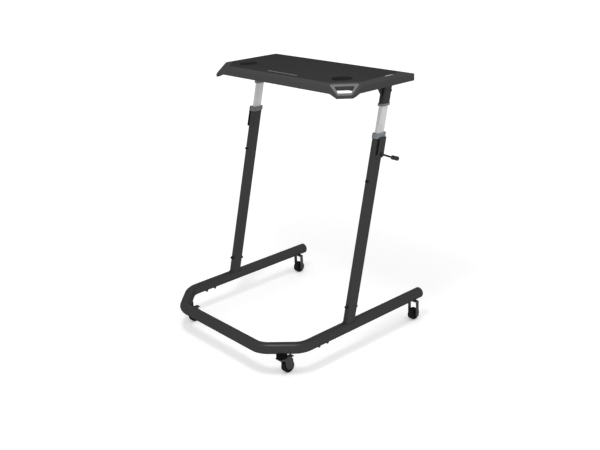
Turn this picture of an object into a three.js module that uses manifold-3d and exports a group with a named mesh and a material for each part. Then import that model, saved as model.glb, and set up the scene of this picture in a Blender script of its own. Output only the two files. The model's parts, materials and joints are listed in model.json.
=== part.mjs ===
// A height-adjustable desk that rolls over the front wheel of a bicycle on an indoor trainer.
// Millimetres, +Z up, the rider's side at +Y, the closed end of the base at -Y.
// The origin is the middle of the bounding box on the floor.

import * as THREE from 'three';
import { mergeVertices } from 'three/addons/utils/BufferGeometryUtils.js';
import Module from 'manifold-3d';

const wasm = await Module();
wasm.setup();

// Clearances and facets
const gap = 0.3;              // between pieces that touch
const overrun = 6;            // how far a cutter reaches past what it cuts
const weldDistance = 0.0001;  // corners closer than this are one
const tubeSides = 20;
const boltSides = 12;
const wheelSides = 24;
const cornerSteps = 3;
const bendSteps = 4;

// Base frame
const baseWidth = 771;
const baseDepth = 800;
const railDiameter = 45;
const railWall = 2;
const cornerCut = 114;        // centre line's cut corner, along each side
const bendRadius = 78;
const seamFromFront = 266;    // front centre line to the joint in each side rail
const sleeveLength = 190;
const sleeveWall = 2;
const railScrewPitch = 44;
const railScrewFromSeam = 27;
const railScrewDiameter = 6;
const railScrewHeadDiameter = 13;
const railScrewHeadHeight = 9;
const railScrewLength = 10;
const capDome = 7;
const capPlugLength = 22;
const capPlugWall = 3;

// Posts
const postFoot = 351;         // front centre line to the post's foot on the rail's centre line
const postLean = 14.4;        // degrees towards the rider
const postWidth = 30;         // across, along X
const postDepth = 44;
const postCorner = 9;
const postWall = 1.5;
const stubWall = 2;
const stubTop = 132;
const footBoltAt = 80;
const footBoltDiameter = 8;
const footBoltHeadDiameter = 14;
const footBoltHeadHeight = 12.5;
const faceScrewBelowTop = 173;
const faceScrewDiameter = 5;
const faceScrewHeadDiameter = 10;
const faceScrewHeadHeight = 12;

// Guide collar on top of each post
const collarHeight = 18;
const collarProud = 2.6;
const collarSkirt = 4;
const collarPlug = 40;
const slideClearance = 0.4;

// Inner tubes, their racks and what they carry
const innerWidth = 22;
const innerDepth = 33;
const innerCorner = 6;
const innerWall = 1.5;
const innerLength = 478;
const innerTopBelowPlate = 14.5;
const innerShown = 101.7;     // between the collar and the ring, as raised in the photograph
const shoeHeight = 26;
const shoeWall = 1.4;
const rackThickness = 1.7;
const rackBacking = 2.2;
const rackTeeth = 70;
const gearModule = 1.5;
const gearTeeth = 10;

// Crank gearbox
const gearboxHeight = 76;
const gearboxWidth = 34;
const gearboxShift = 1;       // towards the front
const gearboxDepth = 11.5;
const gearboxOverCollar = 4;  // how far the crank side's cover rises past the collar's foot
const idlerCoverRise = 14;    // how much further the other side's cover rises
const gearboxWall = 2.2;
const gearboxChamfer = 6;
const crankBelowTop = 64;
const crankOffset = 3.7;      // shaft centre off the post's centre line, away from the rack
const windowWidth = 26;
const shaftDiameter = 9;
const shaftBossDiameter = 12;
const shaftBossHeight = 9;
const armReach = 57;
const armThickness = 3.5;
const armHubDiameter = 15;
const armTipDiameter = 10;
const armWidth = 6;
const armDrop = 9;            // degrees below square to the post
const knobLength = 29;
const knobDiameter = 17;
const knobWaist = 14;
const knobBore = 5.6;
const knobPinHead = 8.6;
const knobPinHeadHeight = 1.6;

// Upper sleeves under the desktop
const upperSleeveWall = 2.6;
const upperSleeveLength = 75.5;
const ringHeight = 9;
const ringProud = 2.4;
const upperBoltBelowPlate = 27.5;
const upperBoltDiameter = 6;
const upperBoltHeadDiameter = 12;
const upperBoltHeadHeight = 4;
const upperBoltCapHeight = 11; // over the nut at the back
const gussetReach = 34;
const gussetThickness = 5;
const gussetDrop = 52;

// Desktop
const deskPastPost = 37;      // to each side of the posts' centre lines
const deskDepth = 362;
const deskFront = 335;        // base's front centre line to the desktop's front edge
const deskUnderside = 1023;
const deskRimHeight = 26;
const deskBevelRise = 8;
const deskRimDraft = 3;       // how far the rim leans in towards its top
const deskBevelWidth = 19;
const matRim = 2;             // flat border round the mat
const deskWall = 4;
const deskFrontCut = 47;
const deskBackCut = 2;
const matBackCut = 8;
const backBevelWidth = 32;
const matFrontCut = 84;
const matTaper = 13;          // how much closer together the mat's sides are at the back
const matThickness = 2.4;
const matClearance = 0.5;
const cupDiameter = 78;
const cupDepth = 15;
const cupWall = 3;
const cupFromSide = 126;
const cupFromFront = 106;
const trayWidth = 182;
const trayDepth = 9;
const trayFromFront = 50;
const traySink = 6;
const gripDrop = 12.5;        // how far the grips hang below the rim
const gripSlope = 45;         // degrees
const gripLipHeight = 13;
const gripShift = 4;          // towards the front, along the cut corner
const gripWidth = 61;         // along the lip
const gripApronWidth = 112;   // along the lip, at the rim's underside
const gripOpeningTopWidth = 74;
const gripOpeningFootWidth = 47;
const gripBar = 4;            // lip to opening, level
const gripOpeningReach = 21;  // level
const gripWellDepth = 14;     // down the opening's inner wall from the slope
const gripPadDepth = 8;
const lipProud = 3;
const bezelThickness = 1.8;
const bezelBand = 6;
const bezelTopWidth = 103;
const bezelFootWidth = 50;
const ribThickness = 3;
const ribCount = 6;

// Steel frame under the desktop
const plateWidth = 52;
const plateLength = 236;
const plateThickness = 3;
const plateAboveUnderside = 7;
const crossbarDepth = 30;
const crossbarHeight = 15;
const crossbarWall = 1.5;
const bossDiameter = 16;

// Casters
const wheelDiameter = 50;
const wheelWidth = 22;
const tyreCorner = 3;
const wheelDish = 3;
const wheelDishRim = 6;
const axleDiameter = 6;
const axleHeadDiameter = 11;
const axleHeadHeight = 3.4;
const hubDiameter = 15;
const cheekThickness = 3;
const frontForkGap = 25;
const frontTrail = 26;
const mountDiameter = 43;
const mountHeight = 18;
const saddleRise = 7;
const crownDiameter = 38;
const crownThickness = 5;
const crownAboveWheel = 15.2;
const kingpinDiameter = 10;
const kingpinLength = 14;
const rearForkGap = 40;
const rearLegDepth = 16;
const rearCrownThickness = 6;
const rearCasterFromEnd = 41;
const pedalWidth = 20;
const pedalThickness = 4;
const pedalReach = 20;
const pedalHubDiameter = 9;
const pedalPinDiameter = 4;
const pedalPinBehindAxle = 5;

// Worked out from the sizes above
const degree = Math.PI / 180;
const railRadius = railDiameter / 2;
const railUnderside = wheelDiameter + crownAboveWheel + crownThickness + gap + mountHeight;
const railHeight = railUnderside + railRadius;
const railX = baseWidth / 2 - railRadius;
const frontY = -baseDepth / 2 + railRadius;
const seamY = frontY + seamFromFront;
const rearY = baseDepth / 2 - capDome;
const postX = railX;
const footY = frontY + postFoot;
const lean = postLean * degree;
const leanSin = Math.sin(lean);
const leanCos = Math.cos(lean);
const deskWidth = 2 * (postX + deskPastPost);
const cupX = deskWidth / 2 - cupFromSide;
const deskFrontY = frontY + deskFront;
const deskBackY = deskFrontY + deskDepth;
const deskMiddleY = (deskFrontY + deskBackY) / 2;
const deskTop = deskUnderside + deskRimHeight + deskBevelRise;
const deskCeiling = deskTop - matThickness - gap - deskWall;
const plateHeight = deskUnderside + plateAboveUnderside;
// Places along a post, from the rail's centre
const sleeveTop = (plateHeight - gap - railHeight) / leanCos;
const sleeveBottom = sleeveTop - upperSleeveLength;
const innerTop = sleeveTop - innerTopBelowPlate;
const innerBottom = innerTop - innerLength;
const upperBoltAt = sleeveTop - upperBoltBelowPlate;
const collarTop = sleeveBottom - gap - ringHeight - innerShown;
const collarBottom = collarTop - collarHeight;
const postTop = collarBottom + collarSkirt;
const faceScrewAt = postTop - faceScrewBelowTop;
const crankAt = postTop - crankBelowTop;
const gearboxTop = collarBottom - gap + gearboxOverCollar;
const gearboxBottom = gearboxTop - gearboxHeight;
const gearRadius = gearModule * gearTeeth / 2;
const gearPitch = Math.PI * gearModule;
const rootDepth = 5 / 4 * gearModule;
const gearboxFace = postWidth / 2 + gearboxDepth;
const armPlane = gearboxFace + gap;
const knobStart = armPlane + armThickness + gap;
const knobEnd = knobStart + knobLength + knobPinHeadHeight + gap;
const overhang = Math.max(postX + knobEnd - deskWidth / 2, 0);
const axleHeight = wheelDiameter / 2;

// Materials
function finish(colour, roughness, metalness) {
  return () => new THREE.MeshStandardMaterial({ color: colour, roughness, metalness });
}
const blackPaint = finish(0x2b2b2c, 0.45, 0.2);
const silver = finish(0xb9babb, 0.35, 0.85);
const steel = finish(0x9a9b9c, 0.35, 0.9);
const blackPlastic = finish(0x202021, 0.55, 0);
const collarPlastic = finish(0x7d8488, 0.5, 0);
const ringPlastic = finish(0x6c6d6e, 0.5, 0);
const deskPlastic = finish(0x353536, 0.6, 0);
const matRubber = finish(0x262627, 0.85, 0);
const bezelPlastic = finish(0x8f8f90, 0.45, 0.1);
const tyreRubber = finish(0x1a1a1b, 0.8, 0);
const casterPlastic = finish(0x1d1d1e, 0.5, 0);

// Joining and cutting
function toSolid(geometry) {
  const bare = geometry.clone();
  bare.deleteAttribute('normal');
  bare.deleteAttribute('uv');
  const merged = mergeVertices(bare, weldDistance);
  const vertProperties = new Float32Array(merged.attributes.position.array);
  const triVerts = new Uint32Array(merged.index.array);
  return new wasm.Manifold(new wasm.Mesh({ numProp: 3, vertProperties, triVerts }));
}

function toGeometry(manifold) {
  const mesh = manifold.getMesh();
  const geometry = new THREE.BufferGeometry();
  geometry.setAttribute('position', new THREE.BufferAttribute(new Float32Array(mesh.vertProperties), 3));
  geometry.setIndex(new THREE.BufferAttribute(new Uint32Array(mesh.triVerts), 1));
  geometry.computeVertexNormals();
  return geometry;
}

function cut(geometry, ...cutters) {
  let solid = toSolid(geometry);
  for (const cutter of cutters) {
    solid = solid.subtract(toSolid(cutter));
  }
  return toGeometry(solid);
}

function join(...geometries) {
  let solid = toSolid(geometries[0]);
  for (const geometry of geometries.slice(1)) {
    solid = solid.add(toSolid(geometry));
  }
  return toGeometry(solid);
}

// Outlines and rings
function shapeOf(points) {
  const shape = new THREE.Shape();
  points.forEach(([x, y], i) => (i ? shape.lineTo(x, y) : shape.moveTo(x, y)));
  shape.closePath();
  return shape;
}

function roundedOutline(width, depth, corner, steps = cornerSteps) {
  const points = [];
  const centres = [[1, 1, 0], [-1, 1, 1], [-1, -1, 2], [1, -1, 3]];
  for (const [sx, sy, quarter] of centres) {
    for (let i = 0; i <= steps; i += 1) {
      const angle = (quarter + i / steps) * Math.PI / 2;
      points.push([
        sx * (width / 2 - corner) + corner * Math.cos(angle),
        sy * (depth / 2 - corner) + corner * Math.sin(angle),
      ]);
    }
  }
  return points;
}

// Facets lie against the true circle, one of them square to each axis
function circleOutline(diameter, sides) {
  const radius = diameter / 2 / Math.cos(Math.PI / sides);
  return Array.from({ length: sides }, (_, i) => {
    const angle = (i + 1 / 2) * 2 * Math.PI / sides;
    return [radius * Math.cos(angle), radius * Math.sin(angle)];
  });
}

// Closed skin over rings of 3-D points; a second set of rings is the bore
function loft(rings, boreRings) {
  const count = rings[0].length;
  const positions = [];
  const triangles = [];
  const addRings = (list) => {
    const start = positions.length / 3;
    positions.push(...list.flat(2));
    return start;
  };
  const wall = (start, ringTotal, outward) => {
    for (let r = 0; r + 1 < ringTotal; r += 1) {
      for (let i = 0; i < count; i += 1) {
        const a = start + r * count + i;
        const b = start + r * count + (i + 1) % count;
        const faces = [[a, b, b + count], [a, b + count, a + count]];
        for (const [p, q, s] of faces) {
          triangles.push(...(outward ? [p, q, s] : [p, s, q]));
        }
      }
    }
  };
  const outer = addRings(rings);
  const last = (rings.length - 1) * count;
  wall(outer, rings.length, true);
  if (boreRings) {
    const inner = addRings(boreRings);
    wall(inner, boreRings.length, false);
    const innerLast = (boreRings.length - 1) * count;
    for (let i = 0; i < count; i += 1) {
      const j = (i + 1) % count;
      triangles.push(outer + i, inner + i, inner + j, outer + i, inner + j, outer + j);
      triangles.push(outer + last + i, outer + last + j, inner + innerLast + j);
      triangles.push(outer + last + i, inner + innerLast + j, inner + innerLast + i);
    }
  } else {
    const flat = rings[0].map((_, i) => i);
    for (let i = 1; i + 1 < flat.length; i += 1) {
      triangles.push(outer, outer + i + 1, outer + i);
      triangles.push(outer + last, outer + last + i, outer + last + i + 1);
    }
  }
  const geometry = new THREE.BufferGeometry();
  geometry.setAttribute('position', new THREE.Float32BufferAttribute(positions, 3));
  geometry.setIndex(triangles);
  geometry.computeVertexNormals();
  return geometry;
}

function level(points, z) {
  return points.map(([x, y]) => [x, y, z]);
}

function column(points, bottom, top, bore) {
  const rings = [level(points, bottom), level(points, top)];
  return bore ? loft(rings, [level(bore, bottom), level(bore, top)]) : loft(rings);
}

// Round bar along an axis, from one place to another on it, through a given point
function bar(diameter, from, to, axis, sides = boltSides) {
  const geometry = column(circleOutline(diameter, sides), from, to);
  if (axis === 'x') {
    geometry.rotateY(Math.PI / 2);
  }
  if (axis === 'y') {
    geometry.rotateX(-Math.PI / 2);
  }
  return geometry;
}

function box(x0, x1, y0, y1, z0, z1) {
  const geometry = new THREE.BoxGeometry(x1 - x0, y1 - y0, z1 - z0);
  geometry.translate((x0 + x1) / 2, (y0 + y1) / 2, (z0 + z1) / 2);
  return geometry;
}

// Outline of [y, z] points, solid from one place on the X axis to another
function upright(points, x0, x1) {
  const geometry = new THREE.ExtrudeGeometry(shapeOf(points), { depth: x1 - x0, bevelEnabled: false });
  const turn = new THREE.Matrix4().set(0, 0, 1, x0, 1, 0, 0, 0, 0, 1, 0, 0, 0, 0, 0, 1);
  return geometry.applyMatrix4(turn);
}

function turned(profile, sides) {
  const points = profile.map(([radius, height]) => new THREE.Vector2(radius, height));
  return new THREE.LatheGeometry(points, sides).rotateX(Math.PI / 2);
}

// Screw with a low domed head, its shank along +Z from the head's seat
function domedScrew(headDiameter, headHeight, shankDiameter, shankLength) {
  const headShares = [[0, 1], [0.5, 0.92], [0.85, 0.6], [1, 0.15], [1, 0]];
  const head = headShares.map(([radiusShare, heightShare]) => [
    headDiameter / 2 * radiusShare, -headHeight * heightShare,
  ]);
  const shank = [[shankDiameter / 2, 0], [shankDiameter / 2, shankLength], [0, shankLength]];
  return turned([...head, ...shank], boltSides);
}

// The pieces go into one group
const desk = new THREE.Group();

function add(parent, name, geometry, material, place = [0, 0, 0], turn = [0, 0, 0]) {
  const mesh = new THREE.Mesh(geometry, material());
  mesh.name = name;
  mesh.position.set(...place);
  mesh.rotation.set(...turn);
  parent.add(mesh);
  return mesh;
}

// Sides: the right post, with the crank, is at +X
const sides = [['r', 1], ['l', -1]];

// Base frame

// Centre line of the front tube, as places and headings, bends and all
function frontPath() {
  const corners = [
    [-railX, seamY], [-railX, frontY + cornerCut], [-railX + cornerCut, frontY],
    [railX - cornerCut, frontY], [railX, frontY + cornerCut], [railX, seamY],
  ].map(([x, y]) => new THREE.Vector2(x, y));
  const frames = [];
  corners.forEach((corner, i) => {
    if (i === 0 || i === corners.length - 1) {
      const other = corners[i === 0 ? 1 : i - 1];
      const heading = i === 0 ? other.clone().sub(corner) : corner.clone().sub(other);
      frames.push([corner, heading.normalize()]);
      return;
    }
    const before = corner.clone().sub(corners[i - 1]).normalize();
    const after = corners[i + 1].clone().sub(corner).normalize();
    const turn = Math.atan2(before.cross(after), before.dot(after));
    const tangentLength = bendRadius * Math.tan(Math.abs(turn) / 2);
    const start = corner.clone().addScaledVector(before, -tangentLength);
    const side = Math.sign(turn);
    const across = new THREE.Vector2(-before.y, before.x);
    const centre = start.clone().addScaledVector(across, side * bendRadius);
    for (let step = 0; step <= bendSteps; step += 1) {
      const angle = turn * step / bendSteps;
      const spoke = start.clone().sub(centre).rotateAround(new THREE.Vector2(), angle);
      const heading = before.clone().rotateAround(new THREE.Vector2(), angle);
      frames.push([centre.clone().add(spoke), heading]);
    }
  });
  return frames;
}

function tubeOnPath(frames, diameter, boreDiameter) {
  const rings = (size) => frames.map(([place, heading]) => circleOutline(size, tubeSides).map(([u, v]) => [
    place.x - heading.y * u, place.y + heading.x * u, railHeight + v,
  ]));
  return loft(rings(diameter), rings(boreDiameter));
}

function straightTube(x, y0, y1, diameter, boreDiameter) {
  const frames = [y0, y1].map((y) => [new THREE.Vector2(x, y), new THREE.Vector2(0, 1)]);
  return tubeOnPath(frames, diameter, boreDiameter);
}

const railBore = railDiameter - 2 * railWall;
const sleeveDiameter = railBore - 2 * gap;
const swivelX = railX - cornerCut / 2;
const swivelY = frontY + cornerCut / 2;
const rearCasterY = baseDepth / 2 - rearCasterFromEnd;
const railScrewYs = [0, 1].map((i) => seamY - railScrewFromSeam - i * railScrewPitch);

function railScrewHoles(x, clearance) {
  return railScrewYs.map((y) => bar(
    railScrewDiameter + 2 * clearance, railUnderside - overrun, railHeight, 'z',
  ).translate(x, y, 0));
}

function buildBase() {
  const kingpinHoles = sides.map(([, side]) => bar(
    kingpinDiameter + 2 * gap, railUnderside - overrun, railHeight, 'z',
  ).translate(side * swivelX, swivelY, 0));
  const screwHoles = sides.flatMap(([, side]) => railScrewHoles(side * railX, gap));
  const front = cut(tubeOnPath(frontPath(), railDiameter, railBore), ...kingpinHoles, ...screwHoles);
  add(desk, 'base_front_tube', front, blackPaint);

  for (const [tag, side] of sides) {
    const x = side * railX;
    const rail = cut(
      straightTube(x, seamY + gap, rearY - gap, railDiameter, railBore),
      bar(kingpinDiameter + 2 * gap, railUnderside - overrun, railHeight, 'z').translate(x, rearCasterY, 0),
    );
    add(desk, `rail_${tag}`, rail, blackPaint);

    const sleeve = cut(
      straightTube(x, seamY - sleeveLength / 2, seamY + sleeveLength / 2,
        sleeveDiameter, sleeveDiameter - 2 * sleeveWall),
      ...railScrewHoles(x, gap),
    );
    add(desk, `rail_sleeve_${tag}`, sleeve, steel);

    const plug = railBore / 2 - gap;
    const domeShares = [[0, 1], [0.5, 0.9], [0.85, 0.5], [1, 0]];
    const dome = domeShares.map(([radiusShare, riseShare]) => [
      railRadius * radiusShare, capDome * riseShare,
    ]);
    const capProfile = [
      ...dome, [plug, 0], [plug, -capPlugLength], [plug - capPlugWall, -capPlugLength],
      [plug - capPlugWall, -capPlugWall], [0, -capPlugWall],
    ];
    const cap = turned(capProfile.reverse(), tubeSides);
    cap.rotateX(-Math.PI / 2).rotateY(Math.PI / tubeSides);
    add(desk, `rail_cap_${tag}`, cap, blackPlastic, [x, rearY, railHeight]);

    railScrewYs.forEach((y, i) => {
      const screw = domedScrew(
        railScrewHeadDiameter, railScrewHeadHeight, railScrewDiameter, railScrewLength,
      );
      add(desk, `rail_screw_${tag}${i + 1}`, screw, steel, [x, y, railUnderside - gap]);
    });
  }
}

// Posts: everything along a post is built upright on its foot and then leaned. Its ends are cut level
// with the floor, so a ring of points there rises with y.
function sloped(points, t) {
  return points.map(([x, y]) => [x, y, t + y * leanSin / leanCos]);
}

const postInnerWidth = postWidth - 2 * postWall;
const postInnerDepth = postDepth - 2 * postWall;
const postOutline = roundedOutline(postWidth, postDepth, postCorner);
const postBore = roundedOutline(postInnerWidth, postInnerDepth, postCorner - postWall);
const innerOutline = roundedOutline(innerWidth, innerDepth, innerCorner);
const innerBore = roundedOutline(
  innerWidth - 2 * innerWall, innerDepth - 2 * innerWall, innerCorner - innerWall,
);
// What fits inside the post's top and foot
const plugOutline = roundedOutline(
  postInnerWidth - 2 * gap, postInnerDepth - 2 * gap, postCorner - postWall,
);

// The rail as a cutter in the post's own upright frame
function railCutter() {
  const reach = postDepth + overrun;
  return bar(railDiameter + 2 * gap, -reach, reach, 'y', tubeSides).rotateX(lean);
}

function crossHole(diameter, t) {
  const reach = postDepth / 2 + overrun;
  return bar(diameter + 2 * gap, -reach, reach, 'y').translate(0, 0, t);
}

// Bolt along Y through the post, with a domed cap over its nut at the back
function throughBolt(depth, diameter, headDiameter, headHeight, capHeight) {
  const seat = depth / 2 + gap;
  const near = domedScrew(headDiameter, headHeight, diameter, seat + gap).rotateX(-Math.PI / 2);
  const far = domedScrew(headDiameter, capHeight, diameter, seat + gap).rotateX(Math.PI / 2);
  return join(near.translate(0, -seat, 0), far.translate(0, seat, 0));
}

function buildPost(post, tag, side) {
  const windowCutter = bar(windowWidth, 0, postWidth, 'x', tubeSides);
  if (side < 0) {
    windowCutter.rotateZ(Math.PI);
  }
  windowCutter.translate(0, crankOffset, crankAt);
  const screwHole = bar(faceScrewDiameter + 2 * gap, -postDepth, 0, 'y').translate(0, 0, faceScrewAt);
  const outer = cut(
    loft(
      [level(postOutline, 0), sloped(postOutline, postTop)],
      [level(postBore, 0), sloped(postBore, postTop)],
    ),
    railCutter(), crossHole(footBoltDiameter, footBoltAt), windowCutter, screwHole,
  );
  add(post, `post_${tag}`, outer, blackPaint);

  const stubBore = roundedOutline(
    postInnerWidth - 2 * gap - 2 * stubWall, postInnerDepth - 2 * gap - 2 * stubWall,
    postCorner - postWall - stubWall,
  );
  const stub = cut(
    column(plugOutline, 0, stubTop, stubBore), railCutter(), crossHole(footBoltDiameter, footBoltAt),
  );
  add(post, `post_stub_${tag}`, stub, steel);

  const footBolt = throughBolt(
    postDepth, footBoltDiameter, footBoltHeadDiameter, footBoltHeadHeight, footBoltHeadHeight,
  );
  add(post, `foot_bolt_${tag}`, footBolt, blackPlastic, [0, 0, footBoltAt]);

  const faceScrew = domedScrew(
    faceScrewHeadDiameter, faceScrewHeadHeight, faceScrewDiameter, postWall,
  ).rotateX(-Math.PI / 2);
  add(post, `face_screw_${tag}`, faceScrew, steel, [0, -postDepth / 2 - gap, faceScrewAt]);

  buildCollar(post, tag, side);
  buildGearbox(post, tag, side);
}

const capOutline = roundedOutline(
  postWidth + 2 * (collarProud + gap), postDepth + 2 * (collarProud + gap), postCorner + collarProud,
);

// Guide collar: a cap over the post's top, with a bush that reaches down inside it
function buildCollar(post, tag, side) {
  const slideBore = roundedOutline(
    innerWidth + 2 * slideClearance, innerDepth + 2 * slideClearance, innerCorner + slideClearance,
  );
  const skirtRoom = roundedOutline(postWidth + 2 * gap, postDepth + 2 * gap, postCorner + gap);
  const cap = cut(
    loft([sloped(capOutline, collarBottom), sloped(capOutline, collarTop)]),
    loft([sloped(skirtRoom, collarBottom - overrun), sloped(skirtRoom, postTop + gap)]),
  );
  const bush = loft([level(plugOutline, postTop - collarPlug), sloped(plugOutline, postTop + gap * 2)]);
  const body = join(cap, bush);
  // The rack runs past the bush in a slot of its own
  const rackEdge = crankOffset - gearRadius + gearModule + gap;
  const slotInner = innerWidth / 2 - overrun;
  const slotOuter = innerWidth / 2 + gap + rackThickness + slideClearance;
  const slot = box(
    side > 0 ? slotInner : -slotOuter, side > 0 ? slotOuter : -slotInner,
    rackEdge - rackBacking - gearModule - rootDepth - 2 * gap, rackEdge + slideClearance,
    postTop - collarPlug - overrun, collarTop + 2 * overrun,
  );
  const bore = column(slideBore, postTop - collarPlug - overrun, collarTop + 2 * overrun);
  const collar = cut(body, bore, slot);
  add(post, `collar_${tag}`, collar, collarPlastic);
}

// Involute-like teeth, straight sided, good enough to mesh with a straight rack
function pinionOutline() {
  const tip = gearRadius + gearModule;
  const root = gearRadius - rootDepth;
  const toothShares = [[root, -0.33], [tip, -0.11], [tip, 0.11], [root, 0.33]];
  const outline = [];
  for (let tooth = 0; tooth < gearTeeth; tooth += 1) {
    for (const [radius, pitchShare] of toothShares) {
      const angle = (tooth + pitchShare) * 2 * Math.PI / gearTeeth + Math.PI;
      outline.push([radius * Math.cos(angle), radius * Math.sin(angle)]);
    }
  }
  return outline;
}

// The cover over the pinion, open towards the post
function buildGearbox(post, tag, side) {
  const top = side > 0 ? gearboxTop : gearboxTop + idlerCoverRise;
  const outlineAt = (inset) => {
    const near = -gearboxWidth / 2 - gearboxShift + inset;
    const far = gearboxWidth / 2 - gearboxShift - inset;
    const bottom = gearboxBottom + inset;
    const topAt = (y) => top - inset + y * leanSin / leanCos;
    return [
      [near, bottom], [far - gearboxChamfer, bottom], [far, bottom + gearboxChamfer],
      [far, topAt(far)], [near, topAt(near)],
    ];
  };
  const seat = postWidth / 2 + gap;
  const shell = upright(outlineAt(0), seat, gearboxFace);
  const hollow = upright(outlineAt(gearboxWall), seat - overrun, gearboxFace - gearboxWall);
  const bore = bar(shaftDiameter + 2 * gap, seat, gearboxFace + overrun, 'x')
    .translate(0, crankOffset, crankAt);
  const collarRoom = roundedOutline(
    postWidth + 2 * (collarProud + 2 * gap), postDepth + 2 * (collarProud + 2 * gap),
    postCorner + collarProud + gap,
  );
  const collarCutter = loft([
    sloped(collarRoom, collarBottom - gap), sloped(collarRoom, collarTop + gearboxHeight),
  ]);
  const cover = cut(shell, hollow, bore, collarCutter);
  const gear = upright(pinionOutline(), innerWidth / 2 + gap * 2, gearboxFace - gearboxWall - gap);
  const shaftEnd = side > 0 ? armPlane + armThickness : gearboxFace + shaftBossHeight;
  const shaft = bar(shaftDiameter, innerWidth / 2 + overrun, shaftEnd, 'x');
  const pinion = join(gear, shaft);
  if (side < 0) {
    mirrored(cover);
    mirrored(pinion);
  }
  add(post, `gearbox_${tag}`, cover, blackPlastic);
  add(post, `pinion_${tag}`, pinion, steel, [0, crankOffset, crankAt]);
}

function mirrored(geometry) {
  geometry.applyMatrix4(new THREE.Matrix4().makeScale(-1, 1, 1)).index.array.reverse();
  return geometry;
}

// Crank on the right post
function buildCrank(post) {
  const tilt = -armDrop * degree;
  const tipY = armReach * Math.cos(tilt);
  const tipT = armReach * Math.sin(tilt);
  const flat = (diameter, y, t) => bar(diameter, armPlane, armPlane + armThickness, 'x').translate(0, y, t);
  const web = box(armPlane, armPlane + armThickness, 0, armReach, -armWidth / 2, armWidth / 2);
  web.rotateX(tilt);
  const boss = bar(shaftBossDiameter, armPlane, armPlane + shaftBossHeight, 'x');
  const pin = bar(knobBore - 2 * gap, armPlane, knobEnd, 'x').translate(0, tipY, tipT);
  const pinHead = bar(knobPinHead, knobEnd - knobPinHeadHeight, knobEnd, 'x').translate(0, tipY, tipT);
  const shaftRoom = bar(shaftDiameter + 2 * gap, armPlane - overrun, armPlane + armThickness + gap, 'x');
  const arm = cut(
    join(flat(armHubDiameter, 0, 0), web, flat(armTipDiameter, tipY, tipT), boss, pin, pinHead), shaftRoom,
  );
  add(post, 'crank_arm', arm, blackPaint, [0, crankOffset, crankAt]);

  const knobShares = [[1, 0], [1, 0.1], [0.5, 0.45], [0.6, 0.75], [1, 0.95], [0.8, 1]];
  const bore = knobBore / 2;
  const radiusAt = (share) => knobWaist / 2 + (knobDiameter - knobWaist) / 2 * share;
  const grip = knobShares.map(([radiusShare, lengthShare]) => [
    radiusAt(radiusShare), knobLength * lengthShare,
  ]);
  const closed = [[bore, 0], ...grip, [bore, knobLength], [bore, 0]];
  const knob = turned(closed, tubeSides).rotateX(-Math.PI / 2).rotateZ(-Math.PI / 2);
  add(post, 'crank_knob', knob, blackPlastic, [knobStart, crankOffset + tipY, crankAt + tipT]);
}

// What slides in each post
function buildInner(post, tag, side) {
  const bolt = crossHole(upperBoltDiameter, upperBoltAt);
  add(post, `inner_tube_${tag}`, cut(column(innerOutline, innerBottom, innerTop, innerBore), bolt), silver);

  const shoeOutline = roundedOutline(
    postInnerWidth - 2 * slideClearance, postInnerDepth - 2 * slideClearance, postCorner - postWall,
  );
  const shoe = column(
    shoeOutline, innerBottom - shoeHeight, innerBottom - gap,
    roundedOutline(innerWidth - 2 * shoeWall, innerDepth - 2 * shoeWall, innerCorner - shoeWall),
  );
  add(post, `guide_shoe_${tag}`, shoe, blackPlastic);

  // Rack: a toothed steel strip on the outer face, its teeth towards +Y
  const pitchLine = crankOffset - gearRadius;
  const tip = pitchLine + gearModule;
  const root = pitchLine - rootDepth;
  const back = root - rackBacking;
  const bottom = crankAt - gearPitch * Math.floor((crankAt - innerBottom) / gearPitch - 1);
  const toothShares = [[root, 0.17], [tip, 0.39], [tip, 0.61], [root, 0.83]];
  const outline = [[back, bottom]];
  for (let tooth = 0; tooth < rackTeeth; tooth += 1) {
    for (const [y, pitchShare] of toothShares) {
      outline.push([y, bottom + (tooth + pitchShare) * gearPitch]);
    }
  }
  outline.push([back, bottom + rackTeeth * gearPitch]);
  const start = side > 0 ? innerWidth / 2 + gap : -innerWidth / 2 - gap - rackThickness;
  const rack = upright(outline, start, start + rackThickness);
  add(post, `rack_${tag}`, rack, silver);
}

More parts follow.
